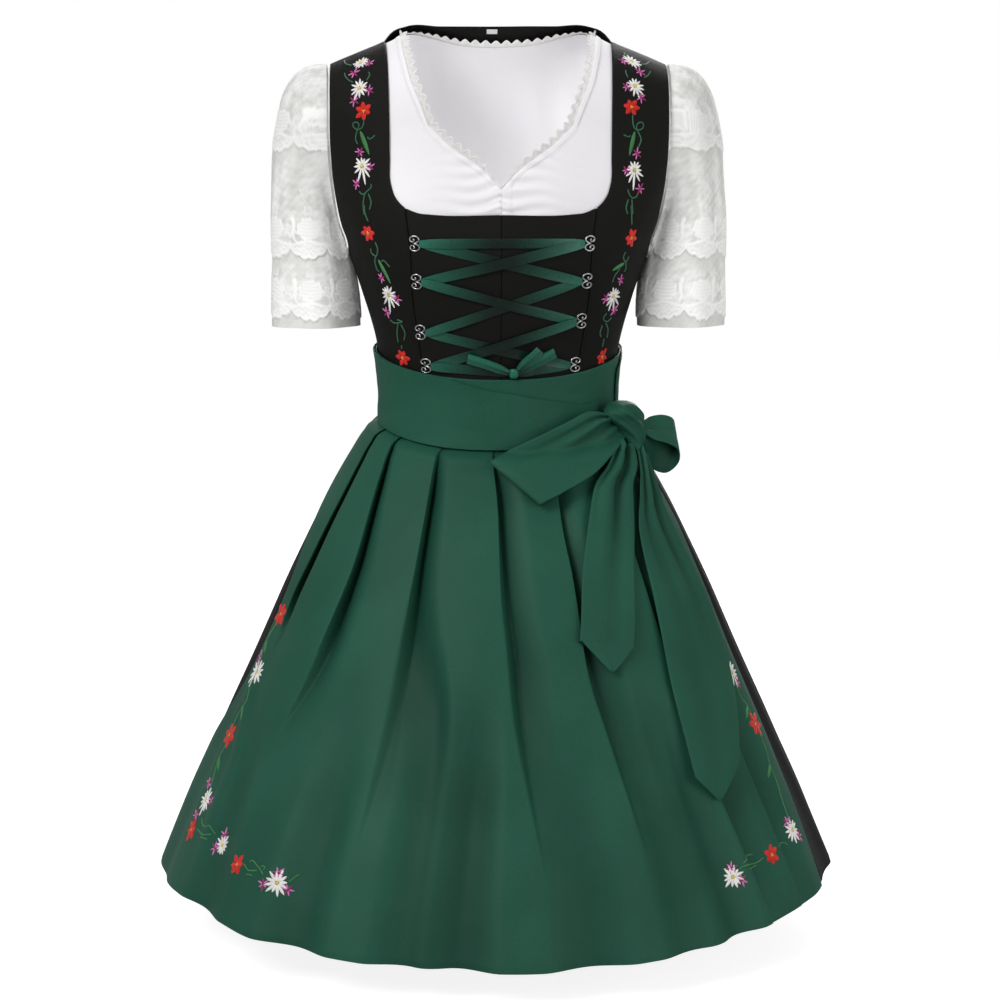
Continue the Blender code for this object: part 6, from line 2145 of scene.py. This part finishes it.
class Stitches:
    """All the embroidery of one region: patches of thread, each with its own colour."""

    def __init__(self, name, cloth, seed):
        self.name = name
        self.cloth = cloth
        self.random = np.random.default_rng(seed)
        self.points, self.faces, self.lengths, self.colours = [], [], [], []

    def patch(self, grid, lengths, colour_name):
        """A domed patch over a grid of (place, normal) pairs; its border sinks into the cloth."""
        rows, columns = len(grid), len(grid[0])
        tint = np.array(THREAD[colour_name][:3]) * self.random.uniform(0.88, 1.04)
        start = len(self.points)
        for row in range(rows):
            for column in range(columns):
                place, normal = grid[row][column]
                border = row in (0, rows - 1) or column in (0, columns - 1)
                centre = 1 - abs(2 * column / (columns - 1) - 1) ** 2
                lift = STITCH_SINK if border else STITCH_LIFT * (0.45 + 0.55 * centre)
                self.points.append(place + normal * lift)
                self.colours.append((*tint, 1.0))
        self.lengths += list(np.asarray(lengths).reshape(-1, 2))
        self.faces += grid_faces(rows, columns, start=start).tolist()

    def petal(self, place, normal, start, end, width, colour_name):
        """A petal from one place to another in the tangent plane, widest past its middle."""
        right, up = plane_at(normal)
        ahead = end - start
        length = float(np.linalg.norm(ahead))
        square = np.array([-ahead[1], ahead[0]]) / length
        grid, lengths = [], []
        for along in PETAL_ALONG:
            reach = width / 2 * max(PETAL_NARROWEST, math.sin(math.pi * along**0.85) ** PETAL_BLUNTNESS)
            row = []
            for across in PETAL_ACROSS:
                flat = start + ahead * along + square * reach * across
                row.append(self.cloth.drop(place + right * flat[0] + up * flat[1], normal))
                lengths.append((reach * across, length * along))
            grid.append(row)
        self.patch(grid, lengths, colour_name)

    def flower(self, kind, photo_x, photo_y, size, droop):
        count, length, width, thread, uneven, heart, heart_thread = MOTIFS[kind]
        place, normal = self.cloth.seen(photo_x, photo_y)
        turn = self.random.uniform(0, 2 * math.pi)
        for index in range(count):
            angle = turn + 2 * math.pi * (index + self.random.uniform(-0.12, 0.12)) / count
            way = np.array([math.cos(angle), math.sin(angle)])
            reach = size * length * self.random.uniform(1 - uneven, 1 + uneven)
            reach *= 1 + droop * max(0.0, -way[1]) ** 2
            shade = "magenta" if kind == "star" and index % 3 == 0 else thread
            self.petal(place, normal, way * heart * 0.6, way * reach, size * width, shade)
        for index in range(3):
            angle = turn + 2.1 * index
            way = np.array([math.cos(angle), math.sin(angle)]) * heart * 0.35
            start, end = way - way[::-1], way + way[::-1] + 1e-4
            self.petal(place + normal * HEART_LIFT, normal, start, end, heart * 1.1, heart_thread)

    def leaf(self, base_x, base_y, tip_x, tip_y, width):
        base, normal = self.cloth.seen(base_x, base_y)
        tip, _ = self.cloth.seen(tip_x, tip_y)
        end = np.array([(tip - base).dot(direction) for direction in plane_at(normal)])
        self.petal(base, normal, np.zeros(2), end, width, "green")

    def vine(self, stroke_points, thread):
        places = [self.cloth.seen(photo_x, photo_y) for photo_x, photo_y in stroke_points]
        length = sum((after[0] - before[0]).length for before, after in zip(places, places[1:]))
        count = max(5, round(length / STROKE_STEP))
        path = through([place for place, _ in places], count)
        normals = through([normal for _, normal in places], count)
        grid, lengths = [], []
        for index in range(count):
            normal = Vector(normals[index]).normalized()
            ahead = Vector(path[min(index + 1, count - 1)] - path[max(index - 1, 0)]).normalized()
            side = ahead.cross(normal)
            row = []
            for across in STROKE_ACROSS:
                row.append(self.cloth.drop(Vector(path[index]) + side * across * STROKE_WIDTH / 2, normal))
                lengths.append((across * STROKE_WIDTH / 2, index * length / count))
            grid.append(row)
        self.patch(grid, lengths, thread)

    def finish(self, slot):
        points = np.array([tuple(point) for point in self.points])
        add_mesh(self.name, points, self.faces, "embroidery_thread", np.array(self.lengths),
                 colours=self.colours, slot=slot)


def build_embroidery():
    regions = {
        # region: (pieces, slot)
        "bodice_left": (("bodice_side_front_left", "bodice_centre_front_left"), "black_twill"),
        "bodice_right": (("bodice_side_front_right", "bodice_centre_front_right"), "black_twill"),
        "apron_left": (("apron_skirt",), "green_satin"),
        "apron_right": (("apron_skirt",), "green_satin"),
    }
    for seed, (region, (pieces, slot)) in enumerate(regions.items()):
        stitches = Stitches(f"embroidery_{region}", Cloth(pieces), seed + 40)
        for places in STROKES[region]:
            stitches.vine(places, "green" if "apron" in region else "dark_green")
        for row in LEAVES[region]:
            stitches.leaf(*row)
        for row in FLOWERS[region]:
            stitches.flower(*row)
        stitches.finish(slot)


# ---------------------------------------------------------------- build the set

build_blouse_fronts()
build_blouse_back()
build_sleeves()
build_neck_lace()
build_bodice_fronts()
build_bodice_back()
build_hooks()
build_lacing()
build_lacing_bow()
build_lacing_knot()
build_skirt()
build_apron()
build_bands()
build_bow()
build_embroidery()


# ---------------------------------------------------------------- floor and studio light

FLOOR_HEIGHT = -0.90
FLOOR_SIZE = 40.0
FLOOR_GLOW = 0.86
LIGHTS = {
    # name: place, size, watts, colour
    "key_light": ((-1.9, -2.2, 1.5), 1.3, 64.0, (1.0, 1.0, 1.0)),
    "fill_light": ((2.2, -2.2, 0.0), 2.0, 30.0, (1.0, 0.99, 0.98)),
    "top_light": ((0.0, 0.3, 2.2), 1.6, 12.0, (1.0, 1.0, 1.0)),
    "back_light": ((0.6, 2.6, 0.8), 2.0, 80.0, (1.0, 1.0, 1.0)),
}
LIGHT_TARGET = (0.0, 0.0, -0.35)
SPOTS = {
    # name: place, target, watts
    "left_sleeve_spot": ((-0.2, -2.3, 0.0), (-0.225, 0.0, -0.185), 52.0),
    "right_sleeve_spot": ((0.7, -2.2, 0.0), (0.228, 0.0, -0.185), 56.0),
}
SPOT_ANGLE = 7.6
SPOT_BLEND = 0.6
SPOT_SOFTNESS = 0.06
AMBIENT = 0.36
INNER_LIGHT_PLACE = (0.0, -0.055, -0.175)
INNER_LIGHT_WAY = (0.0, 0.75, 0.45)
INNER_LIGHT_SIZE = 0.16
INNER_LIGHT_WATTS = 0.17
WHITE = (1.0, 1.0, 1.0, 1.0)


def build_floor():
    """A pale floor, which glows to the camera alone."""
    half = FLOOR_SIZE / 2
    corners = [(x * half, y * half, FLOOR_HEIGHT) for x, y in ((-1, -1), (1, -1), (1, 1), (-1, 1))]
    data = bpy.data.meshes.new("floor")
    data.from_pydata(corners, [], [(0, 1, 2, 3)])
    finish = Finish("floor", 0.9, 0.0)
    finish.set("Base Color", colour(170, 170, 170))
    finish.set("Emission Color", WHITE)
    seen = finish.node("LightPath").outputs["Is Camera Ray"]
    finish.set("Emission Strength", finish.spread(seen, 0.0, FLOOR_GLOW))
    data.materials.append(finish.material)
    floor = bpy.data.objects.new("floor", data)
    bpy.context.scene.collection.objects.link(floor)


def add_light(name, kind, place, way, **settings):
    data = bpy.data.lights.new(name, kind)
    for key, value in settings.items():
        setattr(data, key, value)
    light = bpy.data.objects.new(name, data)
    place_towards(light, place, way)
    return light


def build_lights():
    """Soft studio lights, a narrow light on each lace sleeve and a weak one inside the neck.

    The sleeves let light through, and the inside of the back is in shade: their own lights keep both white.
    """
    for name, (place, size, watts, tint) in LIGHTS.items():
        way = Vector(LIGHT_TARGET) - Vector(place)
        add_light(name, "AREA", place, way, size=size, energy=watts, color=tint)
    for name, (place, target, watts) in SPOTS.items():
        add_light(name, "SPOT", place, Vector(target) - Vector(place), energy=watts, spot_blend=SPOT_BLEND,
                  spot_size=math.radians(SPOT_ANGLE), shadow_soft_size=SPOT_SOFTNESS)
    inner = add_light("inner_light", "AREA", INNER_LIGHT_PLACE, INNER_LIGHT_WAY, size=INNER_LIGHT_SIZE,
                      energy=INNER_LIGHT_WATTS)
    inner.visible_camera = False


def build_world():
    """White behind the set as the camera sees it, and a weaker even light on the cloth."""
    world = bpy.data.worlds.new("studio")
    world.use_nodes = True
    tree = world.node_tree
    tree.nodes.clear()
    ray = tree.nodes.new("ShaderNodeLightPath")
    seen = tree.nodes.new("ShaderNodeBackground")
    even = tree.nodes.new("ShaderNodeBackground")
    mix = tree.nodes.new("ShaderNodeMixShader")
    output = tree.nodes.new("ShaderNodeOutputWorld")
    for background in (seen, even):
        background.inputs["Color"].default_value = WHITE
    even.inputs["Strength"].default_value = AMBIENT
    tree.links.new(ray.outputs["Is Camera Ray"], mix.inputs[0])
    tree.links.new(even.outputs[0], mix.inputs[1])
    tree.links.new(seen.outputs[0], mix.inputs[2])
    tree.links.new(mix.outputs[0], output.inputs[0])
    bpy.context.scene.world = world
    bpy.context.scene.view_settings.view_transform = "Standard"


build_floor()
build_lights()
build_world()
